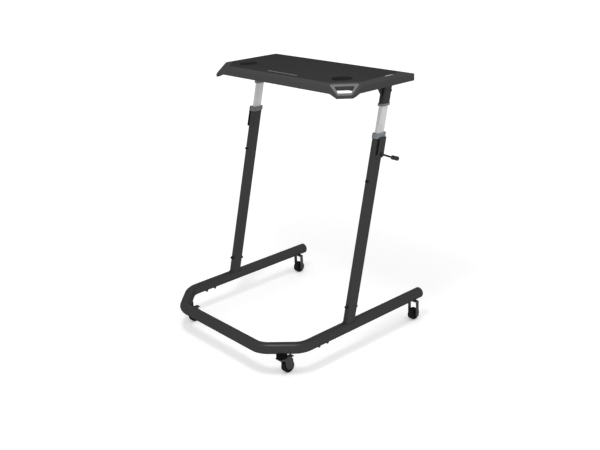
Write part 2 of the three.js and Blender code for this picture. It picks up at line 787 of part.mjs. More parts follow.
// Upper sleeve: its foot is square to the post and its top is level with the floor
function buildUpperSleeve(post, tag) {
  const around = (proud) => roundedOutline(
    innerWidth + 2 * (slideClearance + proud), innerDepth + 2 * (slideClearance + proud),
    innerCorner + slideClearance + proud,
  );
  const outer = around(upperSleeveWall);
  const bore = around(0);
  const sleeve = (bottom, top, outside) => loft(
    [sloped(outside, bottom), sloped(outside, top)], [sloped(bore, bottom), sloped(bore, top)],
  );
  const tube = sleeve(sleeveBottom, sleeveTop, outer);
  const face = -innerDepth / 2 - slideClearance - upperSleeveWall;
  const inFace = face + upperSleeveWall / 2;
  const zAt = (y) => sleeveTop + y * leanSin / leanCos;
  const gussetOutline = [
    [inFace, zAt(inFace)], [face - gussetReach, zAt(face - gussetReach)],
    [face - gussetReach, zAt(face - gussetReach) - gussetThickness], [inFace, zAt(inFace) - gussetDrop],
  ];
  const gusset = upright(gussetOutline, -gussetThickness / 2, gussetThickness / 2);
  const sleeveDepth = innerDepth + 2 * (slideClearance + upperSleeveWall);
  const bolt = crossHole(upperBoltDiameter, upperBoltAt);
  const boltHeadRoom = bar(
    upperBoltHeadDiameter + 4 * gap, face - upperBoltHeadHeight - 2 * gap, face, 'y',
  ).translate(0, 0, upperBoltAt);
  add(post, `upper_sleeve_${tag}`, cut(join(tube, gusset), bolt, boltHeadRoom), blackPaint);

  const through = throughBolt(
    sleeveDepth, upperBoltDiameter, upperBoltHeadDiameter, upperBoltHeadHeight, upperBoltCapHeight,
  );
  add(post, `upper_bolt_${tag}`, through, blackPlastic, [0, 0, upperBoltAt]);

  const ringTop = sleeveBottom - gap;
  const ring = sleeve(ringTop - ringHeight, ringTop, around(upperSleeveWall + ringProud));
  add(post, `sleeve_ring_${tag}`, ring, ringPlastic);
}

// Desktop

// Eight-sided outline, wider cuts at the front corners
function deskOutline(inset, frontCut, backCut, taper, backInset) {
  const x = deskWidth / 2 - inset;
  const front = deskFrontY + inset;
  const back = deskBackY - backInset;
  return [
    [-x + frontCut, front], [x - frontCut, front], [x, front + frontCut], [x - taper, back - backCut],
    [x - taper - backCut, back], [-x + taper + backCut, back], [-x + taper, back - backCut],
    [-x, front + frontCut],
  ];
}

const trayY = deskFrontY + trayFromFront;

// Everything at the grips is built on the right corner, with u along the lip and v inward from it
const cornerTurn = Math.PI / 4;
const lipMiddle = [deskWidth / 2 - deskFrontCut / 2, deskFrontY + deskFrontCut / 2];
const openingFar = gripBar + gripOpeningReach;
const lipTop = deskUnderside - gripDrop + gripLipHeight;
const slopeTan = Math.tan(gripSlope * degree);

function toCorner(geometry, side) {
  geometry.translate(-gripShift, 0, 0);
  geometry.rotateZ(cornerTurn);
  geometry.translate(lipMiddle[0], lipMiddle[1], 0);
  return side < 0 ? mirrored(geometry) : geometry;
}

// Sheets over the grip: v runs inward from the lip and the slope rises with it
function onSlope(outline, low, high) {
  const lift = (offset) => outline.map(([u, v]) => [u, v, lipTop + v * slopeTan + offset]);
  return loft([lift(low), lift(high)]);
}

// The tray's skin: outside, inside, and the slopes at its front corners
function deskSkin() {
  const topInset = deskRimDraft + deskBevelWidth;
  const rimTop = deskUnderside + deskRimHeight;
  const foot = deskOutline(0, deskFrontCut, deskBackCut, 0, 0);
  const rim = deskOutline(deskRimDraft, deskFrontCut, deskBackCut, -deskRimDraft, 0);
  const top = deskOutline(topInset, deskFrontCut, matBackCut, matTaper, backBevelWidth);
  let outer = toSolid(loft([level(foot, deskUnderside), level(rim, rimTop), level(top, deskTop)]));
  const innerFoot = deskOutline(deskWall, deskFrontCut, deskBackCut, 0, deskWall);
  const innerRim = deskOutline(deskWall + deskRimDraft, deskFrontCut, deskBackCut, -deskRimDraft, deskWall);
  const innerCeiling = deskOutline(
    topInset + deskWall, deskFrontCut, matBackCut, matTaper, backBevelWidth + deskWall,
  );
  let inner = toSolid(loft([
    level(innerFoot, deskUnderside - gripDrop - overrun), level(innerRim, rimTop - deskWall),
    level(innerCeiling, deskCeiling),
  ]));
  const slopeWall = deskWall / Math.cos(gripSlope * degree);
  const reach = gripWidth * 2;
  const halfGrip = gripWidth / 2;
  const everywhere = [[-reach, -reach], [reach, -reach], [reach, reach], [-reach, reach]];
  const halfApron = gripApronWidth / 2;
  const drop = deskUnderside - gripDrop;
  const lipOutline = [
    [-halfGrip, -lipProud], [halfGrip, -lipProud], [halfGrip, gripBar], [-halfGrip, gripBar],
  ];
  // The skirt hangs lower towards the grip on both faces beside it
  const skirtAt = (half) => [[-half, 0], [half, 0], [half, halfApron], [-half, halfApron]];
  const apron = loft([level(skirtAt(halfGrip), drop), level(skirtAt(halfApron), deskUnderside + gap)]);
  const hanging = toSolid(column(foot, drop - overrun, rimTop));
  const pad = gripOutline(bezelTopWidth, bezelFootWidth, bezelBand);
  for (const [, side] of sides) {
    outer = outer.add(toSolid(toCorner(column(lipOutline, drop, rimTop), side)));
    outer = outer.add(toSolid(toCorner(apron.clone(), side)).intersect(hanging));
    outer = outer.add(toSolid(toCorner(onSlope(pad, -gripPadDepth, gap), side)));
    outer = outer.subtract(toSolid(toCorner(onSlope(everywhere, 0, reach), side)));
    inner = inner.subtract(toSolid(toCorner(onSlope(everywhere, -slopeWall, reach), side)));
  }
  return outer.subtract(inner);
}

// What stands in the tray's hollow: wells, trough, ribs and bosses
function deskInsides() {
  const within = deskCeiling + deskWall / 2;
  const pieces = [];
  for (const [, side] of sides) {
    const well = bar(cupDiameter + 2 * cupWall, deskTop - cupDepth - cupWall, within, 'z', wheelSides);
    pieces.push(well.translate(side * cupX, deskFrontY + cupFromFront, 0));
    // The wall that the fingers meet behind the opening
    const half = gripOpeningTopWidth / 2 + deskWall;
    const openingTop = lipTop + openingFar * slopeTan;
    const wallBack = openingFar + deskWall;
    const wallOutline = [[-half, openingFar], [half, openingFar], [half, wallBack], [-half, wallBack]];
    const wall = column(wallOutline, openingTop - gripWellDepth, openingTop - deskWall / 2);
    pieces.push(toCorner(wall, side));
  }
  pieces.push(box(
    -trayWidth / 2 - deskWall, trayWidth / 2 + deskWall, trayY - trayDepth / 2 - deskWall,
    trayY + trayDepth / 2 + deskWall, deskTop - traySink - deskWall, within,
  ));
  const ribFoot = plateHeight + plateThickness + crossbarHeight + gap;
  const ribEnd = deskBackY - backBevelWidth - deskWall;
  for (let i = 0; i < ribCount; i += 1) {
    const x = (i - (ribCount - 1) / 2) * (postX - plateWidth) * 2 / ribCount;
    const half = ribThickness / 2;
    pieces.push(box(x - half, x + half, trayY + trayDepth, ribEnd, ribFoot, within));
  }
  for (const [bossX, bossY] of bossPlaces()) {
    const boss = bar(bossDiameter, plateHeight + plateThickness + gap, within, 'z');
    pieces.push(boss.translate(bossX, bossY, 0));
  }
  return pieces;
}

// What is cut out of the top: cup wells, tablet groove, the mat's seat and the finger openings
function deskCutters() {
  const above = deskTop + overrun;
  const cutters = [];
  for (const [, side] of sides) {
    const room = bar(cupDiameter, deskTop - cupDepth, above, 'z', wheelSides);
    cutters.push(room.translate(side * cupX, deskFrontY + cupFromFront, 0));
    const opening = gripOutline(gripOpeningTopWidth, gripOpeningFootWidth, 0);
    const cutter = loft([level(opening, deskUnderside - gripDrop - overrun), level(opening, above)]);
    cutters.push(toCorner(cutter, side));
  }
  cutters.push(box(
    -trayWidth / 2, trayWidth / 2, trayY - trayDepth / 2, trayY + trayDepth / 2, deskTop - traySink, above,
  ));
  cutters.push(column(matOutline(0), deskTop - matThickness - gap, above));
  return cutters;
}

function buildDesktop() {
  let shell = deskSkin();
  for (const piece of deskInsides()) {
    shell = shell.add(toSolid(piece));
  }
  for (const cutter of deskCutters()) {
    shell = shell.subtract(toSolid(cutter));
  }
  add(desk, 'desktop_shell', toGeometry(shell), deskPlastic);
  buildMat();
  buildBezels();
  buildDeskFrame();
}

// Four corners round a finger opening, narrower towards the lip
function gripOutline(topWidth, footWidth, band) {
  const near = gripBar - band;
  const far = openingFar + band;
  return [[-footWidth / 2, near], [footWidth / 2, near], [topWidth / 2, far], [-topWidth / 2, far]];
}

function matOutline(clearance) {
  const matInset = deskRimDraft + deskBevelWidth + matRim + clearance;
  return deskOutline(matInset, matFrontCut, matBackCut, matTaper, backBevelWidth + matRim + clearance);
}

function bossPlaces() {
  const places = [];
  for (const [, side] of sides) {
    for (const share of [-1, 1]) {
      places.push([side * postX, deskMiddleY + share * (plateLength / 2 - bossDiameter)]);
    }
  }
  return places;
}

function buildMat() {
  const shape = shapeOf(matOutline(matClearance));
  for (const [, side] of sides) {
    const hole = circleOutline(cupDiameter + 2 * gap, wheelSides)
      .map(([x, y]) => [x + side * cupX, y + deskFrontY + cupFromFront]);
    shape.holes.push(shapeOf(hole));
  }
  const halfTray = trayWidth / 2 + gap;
  shape.holes.push(shapeOf([
    [-halfTray, trayY - trayDepth / 2 - gap], [halfTray, trayY - trayDepth / 2 - gap],
    [halfTray, trayY + trayDepth / 2 + gap], [-halfTray, trayY + trayDepth / 2 + gap],
  ]));
  const mat = new THREE.ExtrudeGeometry(shape, { depth: matThickness, bevelEnabled: false });
  add(desk, 'desk_mat', mat, matRubber, [0, 0, deskTop - matThickness]);
}

// Frame round each finger opening, lying on the slope
function buildBezels() {
  for (const [tag, side] of sides) {
    const lift = (outline, offset) => outline.map(([u, v]) => [u, v, lipTop + v * slopeTan + offset]);
    const outer = gripOutline(bezelTopWidth, bezelFootWidth, bezelBand);
    const inner = gripOutline(gripOpeningTopWidth, gripOpeningFootWidth, 0);
    const bezel = loft(
      [lift(outer, gap), lift(outer, gap + bezelThickness)],
      [lift(inner, gap), lift(inner, gap + bezelThickness)],
    );
    add(desk, `grip_bezel_${tag}`, toCorner(bezel, side), bezelPlastic);
  }
}

function buildDeskFrame() {
  const z0 = plateHeight;
  const z1 = plateHeight + plateThickness;
  const plates = sides.map(([, side]) => box(
    side * postX - plateWidth / 2, side * postX + plateWidth / 2,
    deskMiddleY - plateLength / 2, deskMiddleY + plateLength / 2, z0, z1,
  ));
  const crossbar = cut(
    box(
      -postX, postX, deskMiddleY - crossbarDepth / 2,
      deskMiddleY + crossbarDepth / 2, z1 - gap, z1 + crossbarHeight,
    ),
    box(
      -postX - plateWidth, postX + plateWidth, deskMiddleY - crossbarDepth / 2 + crossbarWall,
      deskMiddleY + crossbarDepth / 2 - crossbarWall, z1 + crossbarWall, z1 + crossbarHeight - crossbarWall,
    ),
  );
  add(desk, 'desk_frame', join(crossbar, ...plates), blackPaint);
}

// Casters

function buildWheel(parent, name, place, turn) {
  const half = wheelWidth / 2;
  const radius = wheelDiameter / 2 / Math.cos(Math.PI / wheelSides);
  const bore = axleDiameter / 2 + gap;
  const dishRadius = radius - wheelDishRim;
  const hub = hubDiameter / 2;
  const profile = [
    [bore, -half], [hub, -half], [hub, -half + wheelDish], [dishRadius, -half + wheelDish],
    [dishRadius, -half], [radius - tyreCorner, -half], [radius, -half + tyreCorner],
    [radius, half - tyreCorner], [radius - tyreCorner, half], [dishRadius, half],
    [dishRadius, half - wheelDish], [hub, half - wheelDish], [hub, half], [bore, half], [bore, -half],
  ];
  const wheel = turned(profile, wheelSides).rotateX(-Math.PI / 2).rotateZ(Math.PI / 2);
  wheel.rotateX(Math.PI / wheelSides);
  add(parent, name, wheel, tyreRubber, place, turn);
}

function axleBolt(span) {
  const seat = span / 2 + gap;
  const head = domedScrew(axleHeadDiameter, axleHeadHeight, axleDiameter, seat + gap);
  const near = head.clone().rotateY(Math.PI / 2).translate(-seat, 0, 0);
  const far = head.clone().rotateY(-Math.PI / 2).translate(seat, 0, 0);
  return join(near, far);
}

// Swivelling front caster, with its trail along +Y as after a pull towards the rider's side
function buildFrontCaster(tag, side) {
  const caster = new THREE.Group();
  caster.position.set(side * swivelX, swivelY, 0);
  desk.add(caster);

  const mountBottom = railUnderside - mountHeight;
  const saddle = bar(railDiameter + 2 * gap, -mountDiameter, mountDiameter, 'y', tubeSides)
    .rotateZ(-side * Math.PI / 4).translate(0, 0, railHeight);
  const mount = cut(bar(mountDiameter, mountBottom, railUnderside + saddleRise, 'z', tubeSides), saddle);
  const kingpin = bar(kingpinDiameter, railUnderside - mountHeight / 2, railUnderside + kingpinLength, 'z');
  add(desk, `caster_mount_${tag}`, join(mount, kingpin), casterPlastic, [side * swivelX, swivelY, 0]);

  const crownTop = mountBottom - gap;
  const crownBottom = crownTop - crownThickness;
  const forkWidth = frontForkGap + 2 * cheekThickness;
  // From the cheek's back edge down round the axle: places from the axle, as shares of the hub's size
  const cheekShares = [
    [1.1, 2], [1.15, 0.3], [0.6, -0.7], [-0.5, -0.7], [-1.2, 0.2], [-1.4, 2.1],
  ];
  const cheekOutline = [
    [-crownDiameter / 2, crownTop], [crownDiameter / 2 + frontTrail / 4, crownTop],
    ...cheekShares.map(([backShare, riseShare]) => [
      frontTrail + hubDiameter * backShare, axleHeight + hubDiameter * riseShare,
    ]),
    [-crownDiameter / 2, crownBottom - gap * 4],
  ];
  const cheekStarts = [-forkWidth / 2, frontForkGap / 2];
  const cheeks = cheekStarts.map((x) => upright(cheekOutline, x, x + cheekThickness));
  const crown = bar(crownDiameter, crownBottom, crownTop, 'z', tubeSides);
  const bridge = box(
    -forkWidth / 2, forkWidth / 2, -crownDiameter / 4, crownDiameter / 2, crownBottom, crownTop,
  );
  const axleHole = bar(axleDiameter + 2 * gap, -forkWidth, forkWidth, 'x');
  axleHole.translate(0, frontTrail, axleHeight);
  const pedalY = frontTrail + pedalPinBehindAxle;
  const pedalZ = crownBottom - pedalHubDiameter / 2 - gap;
  const pedalHole = bar(pedalPinDiameter + 2 * gap, -forkWidth, forkWidth, 'x');
  pedalHole.translate(0, pedalY, pedalZ);
  const fork = cut(join(crown, bridge, ...cheeks), axleHole, pedalHole);
  add(caster, `caster_fork_${tag}`, fork, casterPlastic);

  buildWheel(caster, `front_wheel_${tag}`, [0, frontTrail, axleHeight], [0, 0, 0]);
  add(caster, `front_axle_${tag}`, axleBolt(forkWidth), steel, [0, frontTrail, axleHeight]);

  // Brake pedal on its pin between the cheeks, its tread past the fork
  const hubHalf = frontForkGap / 2 - gap;
  const hub = bar(pedalHubDiameter, -hubHalf, hubHalf, 'x');
  const pin = bar(pedalPinDiameter, -forkWidth / 2, forkWidth / 2, 'x');
  const tread = box(
    -pedalWidth / 2, pedalWidth / 2, 0, pedalReach, -pedalThickness / 2, pedalThickness / 2,
  );
  add(caster, `brake_pedal_${tag}`, join(hub, pin, tread), casterPlastic, [0, pedalY, pedalZ]);
}

// Fixed rear caster: a fork as wide as the rail, straight under it
function buildRearCaster(tag, side) {
  const forkWidth = rearForkGap + 2 * cheekThickness;
  const crownTop = railUnderside - gap;
  const legBottom = axleHeight - rearLegDepth / 2;
  const legs = [-forkWidth / 2, rearForkGap / 2].map((legX) => box(
    legX, legX + cheekThickness, -rearLegDepth / 2, rearLegDepth / 2, legBottom, crownTop,
  ));
  const crown = box(-forkWidth / 2, forkWidth / 2, -rearLegDepth / 2, rearLegDepth / 2,
    crownTop - rearCrownThickness, crownTop);
  const stem = bar(kingpinDiameter, crownTop - rearCrownThickness / 2, crownTop + kingpinLength, 'z');
  const axleHole = bar(axleDiameter + 2 * gap, -forkWidth, forkWidth, 'x').translate(0, 0, axleHeight);
  const x = side * railX;
  const fork = cut(join(crown, stem, ...legs), axleHole);
  add(desk, `rear_fork_${tag}`, fork, casterPlastic, [x, rearCasterY, 0]);
  buildWheel(desk, `rear_wheel_${tag}`, [x, rearCasterY, axleHeight], [0, 0, 0]);
  add(desk, `rear_axle_${tag}`, axleBolt(forkWidth), steel, [x, rearCasterY, axleHeight]);
}

buildBase();
for (const [tag, side] of sides) {
  const post = new THREE.Group();
  post.position.set(side * postX, footY, railHeight);
  post.rotation.x = -lean;
  desk.add(post);
  buildPost(post, tag, side);
  buildInner(post, tag, side);
  buildUpperSleeve(post, tag);
  if (side > 0) {
    buildCrank(post);
  }
  buildFrontCaster(tag, side);
  buildRearCaster(tag, side);
}
buildDesktop();

// The crank reaches past the desktop on one side, so the middle of the box is moved to the origin
desk.position.x = -overhang / 2;

export default desk;
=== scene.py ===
import json
from math import asin, atan2, cos, pi, radians, sin, sqrt, tan

import bmesh
import bpy
from mathutils import Matrix, Vector


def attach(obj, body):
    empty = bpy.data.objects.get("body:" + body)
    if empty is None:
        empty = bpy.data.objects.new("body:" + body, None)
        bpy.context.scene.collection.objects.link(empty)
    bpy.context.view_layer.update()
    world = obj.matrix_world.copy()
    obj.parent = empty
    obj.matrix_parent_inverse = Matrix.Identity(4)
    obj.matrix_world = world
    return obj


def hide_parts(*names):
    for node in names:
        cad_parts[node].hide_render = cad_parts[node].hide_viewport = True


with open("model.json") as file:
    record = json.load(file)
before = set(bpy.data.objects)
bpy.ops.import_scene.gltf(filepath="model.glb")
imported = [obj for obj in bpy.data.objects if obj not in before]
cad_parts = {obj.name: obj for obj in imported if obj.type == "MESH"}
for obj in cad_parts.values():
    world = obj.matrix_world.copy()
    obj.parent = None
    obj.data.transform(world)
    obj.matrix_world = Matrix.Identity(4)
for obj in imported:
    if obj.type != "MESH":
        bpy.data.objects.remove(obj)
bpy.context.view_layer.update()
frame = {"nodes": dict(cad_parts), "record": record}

MM = 0.001
X_SHIFT = -12.25 * MM         # the crank reaches past the desktop, so the middle lies to its side
GAP = 0.3 * MM

# Base
RAIL_X = 363 * MM
RAIL_Z = 111 * MM
RAIL_R = 22.5 * MM
RAIL_BORE = 20.5 * MM
FRONT_Y = -377.5 * MM
CORNER_CUT = 114 * MM
BEND_R = 78 * MM
SEAM_Y = -111.5 * MM
REAR_Y = 393 * MM
CAP_DOME = 7 * MM
CAP_PLUG = 22 * MM
BEND_STEPS = 12
SCREW_PITCH = 44 * MM
SCREW_FROM_SEAM = 27 * MM
RAIL_UNDER = RAIL_Z - RAIL_R
SADDLE_REACH = 60 * MM

# Posts
FOOT_Y = -26.5 * MM
LEAN = radians(14.4)
POST_W = 30 * MM
POST_D = 44 * MM
POST_R = 9 * MM
POST_TOP = 748 * MM
TUBE_WALL = 1.5 * MM
BEAD_OUT = 0.6 * MM
BEAD_LIFT = 0.9 * MM
BEAD_R = 1.9 * MM
BEAD_RIPPLE = 0.25 * MM
RIPPLE_STEP = 2.4
WINDOW_R = 13 * MM
WINDOW_DEPTH = 20 * MM
FOOT_BOLT_AT = 80 * MM
FACE_SCREW_AT = 575 * MM
INNER_W = 22 * MM
INNER_D = 33 * MM
INNER_R = 6 * MM
INNER_BOTTOM = 456 * MM
INNER_TOP = 934 * MM
COLLAR_PROUD = 2.6 * MM
COLLAR_H = 18 * MM
COLLAR_SKIRT = 4 * MM
BUSH_ROOM = 3.3 * MM
SLEEVE_BOTTOM = 873 * MM
SLEEVE_WALL = 2.6 * MM
SLIDE = 0.4 * MM
RACK_OUT = 13.4 * MM
RACK_FROM = -8.2 * MM
RACK_TO = -1.6 * MM
RING_H = 9 * MM
RING_PROUD = 2.4 * MM
RING_EDGE = 0.8 * MM
SLEEVE_PLAY = 0.05 * MM
UPPER_BOLT_AT = 921 * MM
GUSSET_REACH = 34 * MM
GUSSET_T = 5 * MM
GUSSET_DROP = 52 * MM
PLATE_Z = 1030 * MM

# Gearbox and crank
GEARBOX_TOP = 747.7 * MM
GEARBOX_H = 76 * MM
GEARBOX_W = 34 * MM
GEARBOX_SHIFT = 1 * MM
GEARBOX_FACE = 26.5 * MM
GEARBOX_CHAMFER = 6 * MM
IDLER_RISE = 14 * MM
SLOT_DEEP = 9 * MM
SHADE_SHEET_GAP = 0.1 * MM
SHADE_SHEET_T = 1.4 * MM
CRANK_AT = 684 * MM
CRANK_OFF = 3.7 * MM
ARM_REACH = 57 * MM
ARM_T = 3.5 * MM
ARM_HALF_W = 3.7 * MM
HUB_R = 7.5 * MM
TIP_R = 5 * MM
PIN_R = 2.5 * MM
PIN_L = 34.7 * MM
BOSS_R = 6 * MM
BOSS_L = 9 * MM
ARM_DROP = radians(9)
KNOB_L = 29 * MM
KNOB_R = 8.5 * MM
KNOB_WAIST = 7 * MM
KNOB_BORE = 2.8 * MM

# Desktop
DESK_W = 800 * MM
DESK_D = 362 * MM
DESK_FRONT = -42.5 * MM
DESK_BACK = DESK_FRONT + DESK_D
DESK_UNDER = 1023 * MM
RIM_H = 26 * MM
BEVEL_RISE = 8 * MM
RIM_DRAFT = 3 * MM
BEVEL_W = 19 * MM
DESK_CORNER_R = 10 * MM
MAT_RIM = 2 * MM
WALL = 4 * MM
FRONT_CUT = 47 * MM
BACK_CUT = 2 * MM
MAT_BACK_CUT = 8 * MM
BACK_BEVEL = 32 * MM
MAT_CUT = 84 * MM
MAT_TAPER = 13 * MM
MAT_T = 2.4 * MM
MAT_CORNER_R = 8 * MM
MAT_FRONT_JOINT = 2.8 * MM
CUP_R = 39 * MM
CUP_DEPTH = 15 * MM
CUP_WALL = 3 * MM
CUP_X = 274 * MM
CUP_Y = DESK_FRONT + 106 * MM
TRAY_W = 182 * MM
TRAY_D = 9 * MM
TRAY_Y = DESK_FRONT + 50 * MM
TRAY_SINK = 6 * MM
CUT_CLEAR = 10 * MM
SMALL_R = 3 * MM
GRIP_DROP = 12.5 * MM
GRIP_LIP = 13 * MM
GRIP_SHIFT = 4 * MM
GRIP_W = 61 * MM
APRON_W = 112 * MM
GRIP_BAR = 4 * MM
GRIP_REACH = 21 * MM
GRIP_TOP_W = 74 * MM
GRIP_FOOT_W = 47 * MM
GRIP_WELL = 14 * MM
GRIP_PAD = 8 * MM
BEZEL_T = 1.8 * MM
BEZEL_BAND = 6 * MM
BEZEL_TOP_W = 109 * MM
BEZEL_FOOT_W = 50 * MM
BEZEL_CORNER_R = 4 * MM
# A pale lens-shaped strip on each side's ridge: a painted glint
GLINT_HALF_L = 30 * MM
GLINT_HALF_W = 4.6 * MM
GLINT_OUT = 1.15 * GLINT_HALF_W
GLINT_Y = DESK_FRONT + 247 * MM
LIP_PROUD = 3 * MM
DESK_TOP = DESK_UNDER + RIM_H + BEVEL_RISE
LIP_TOP = DESK_UNDER - GRIP_DROP + GRIP_LIP

# Casters
WHEEL_R = 25 * MM
WHEEL_W = 22 * MM
SWIVEL_X = 306 * MM
SWIVEL_Y = -320.5 * MM
TRAIL = 26 * MM
RIB_T = 1.8 * MM
RIB_DEEP = 2.4 * MM
RIB_SINK = 1.8 * MM
REAR_WHEEL_Y = 359 * MM
FORK_GAP = 25 * MM
CHEEK = 3 * MM
REAR_GAP = 40 * MM
LEG_D = 16 * MM
MOUNT_R = 21.5 * MM
MOUNT_H = 18 * MM
CROWN_R = 19 * MM
CROWN_T = 5 * MM
PEDAL_L = 20 * MM
PEDAL_HALF_W = 10 * MM
PEDAL_HALF_T = 2 * MM

SIDES = (("r", 1), ("l", -1))

# Studio
SKY_HORIZON = 1.18
SKY_ZENITH = 0.55
SKY_SIDES = (0.16, 0.12, 0.0)
LIFT_NEAR = 0.27
LIFT_FAR = 0.42
LIFT_REACH = 3.7
BACKDROP = 1.0
FLOOR_HALF = 12.0
FLOOR_DROP = 0.2 * MM
FLOOR_TONE = 0.9
FLOOR_ROUGH = 0.9
FLOOR_GLEAM = 0.1
LAMP_AT = (0.48, -0.83, 2.5)
LAMP_TARGET = (0.3, -0.32, 0.1)
LAMP_SIZE = 0.42
LAMP_POWER = 15

# Camera of the photo, solved from its edges
SENSOR_W = 36
LENS = 50.49
CAMERA_AT = (2.45878, -2.0682, 1.65173)
CAMERA_RIGHT = (0.66544, 0.74512, -0.04462)
CAMERA_UP = (-0.23668, 0.26730, 0.93409)
CAMERA_BACK = (0.70794, -0.61102, 0.35423)

# What all finishes share
CLOUD_SCALE = 14.0
CLOUD_DETAIL = 4.0
GRAIN_DETAIL = 3.0
GLOSSIER = 0.06
DULLER = 0.08
RELIEF = 0.4 * MM
EDGE_REACH = 1.2 * MM
EDGE_TURNED = 0.86
RUBBED = (0.55, 0.55, 0.56, 1.0)

QUARTER = pi / 2
TOUCHING = 1e-6
AXIS_TOUCHING = 5e-6
FINE = 64


def add_object(name, data):
    thing = bpy.data.objects.new(name, data)
    bpy.context.scene.collection.objects.link(thing)
    return thing


def place_camera():
    data = bpy.data.cameras.new("photo_camera")
    data.sensor_fit = "HORIZONTAL"
    data.sensor_width = SENSOR_W
    data.lens = LENS
    camera = add_object("photo_camera", data)
    turn = Matrix((CAMERA_RIGHT, CAMERA_UP, CAMERA_BACK)).transposed().to_4x4()
    camera.matrix_world = Matrix.Translation(CAMERA_AT) @ turn
    bpy.context.scene.camera = camera


# Materials

def node(tree, kind, **values):
    """A new node with some of its inputs set. A name's underscores stand for spaces."""
    made = tree.nodes.new(kind)
    for name, value in values.items():
        made.inputs[name.replace("_", " ")].default_value = value
    return made


def vector_node(tree, operation):
    made = tree.nodes.new("ShaderNodeVectorMath")
    made.operation = operation
    return made


def material(
    name, colour, rough, metal=0.0, bump=0.1, grain=900.0, wear=0.06, mottling=0.1, gleam=0.3, polish=0.0,
):
    """A finish with grain, faint cloudiness in its tone, uneven gloss and rubbed edges.

    Gleam is the reflection that grows towards the rims, polish a share of even reflection.
    """
    made = bpy.data.materials.new(name + "_look")
    made.use_nodes = True
    tree = made.node_tree
    link = tree.links.new
    shader = tree.nodes["Principled BSDF"]
    shader.inputs["Metallic"].default_value = metal
    shader.inputs["Specular IOR Level"].default_value = gleam
    place = tree.nodes.new("ShaderNodeTexCoord")
    cloud = node(tree, "ShaderNodeTexNoise", Scale=CLOUD_SCALE, Detail=CLOUD_DETAIL)
    link(place.outputs["Object"], cloud.inputs["Vector"])
    fine = node(tree, "ShaderNodeTexNoise", Scale=grain, Detail=GRAIN_DETAIL)
    link(place.outputs["Object"], fine.inputs["Vector"])

    tone = node(tree, "ShaderNodeMapRange", To_Min=1.0 - mottling, To_Max=1.0 + mottling)
    link(cloud.outputs["Fac"], tone.inputs["Value"])
    tint = vector_node(tree, "SCALE")
    tint.inputs[0].default_value = colour
    link(tone.outputs["Result"], tint.inputs["Scale"])

    edge = node(tree, "ShaderNodeBevel", Radius=EDGE_REACH)
    geometry = tree.nodes.new("ShaderNodeNewGeometry")
    bend = vector_node(tree, "DOT_PRODUCT")
    link(edge.outputs["Normal"], bend.inputs[0])
    link(geometry.outputs["Normal"], bend.inputs[1])
    rub = node(tree, "ShaderNodeMapRange", From_Min=1.0, From_Max=EDGE_TURNED, To_Max=wear)
    link(bend.outputs["Value"], rub.inputs["Value"])
    blend = tree.nodes.new("ShaderNodeMix")
    blend.data_type = "RGBA"
    blend.inputs["B"].default_value = RUBBED
    link(rub.outputs["Result"], blend.inputs["Factor"])
    link(tint.outputs["Vector"], blend.inputs["A"])
    link(blend.outputs["Result"], shader.inputs["Base Color"])

    gloss = node(tree, "ShaderNodeMapRange", To_Min=rough - GLOSSIER, To_Max=rough + DULLER)
    link(cloud.outputs["Fac"], gloss.inputs["Value"])
    link(gloss.outputs["Result"], shader.inputs["Roughness"])
    relief = node(tree, "ShaderNodeBump", Strength=bump, Distance=RELIEF)
    link(fine.outputs["Fac"], relief.inputs["Height"])
    link(relief.outputs["Normal"], shader.inputs["Normal"])
    if polish:
        gleaming = node(tree, "ShaderNodeBsdfGlossy", Color=(1, 1, 1, 1))
        link(gloss.outputs["Result"], gleaming.inputs["Roughness"])
        link(relief.outputs["Normal"], gleaming.inputs["Normal"])
        layers = node(tree, "ShaderNodeMixShader", Fac=polish)
        link(shader.outputs["BSDF"], layers.inputs[1])
        link(gleaming.outputs["BSDF"], layers.inputs[2])
        link(layers.outputs["Shader"], tree.nodes["Material Output"].inputs["Surface"])
    return made


def grey(level):
    return (level, level, level)


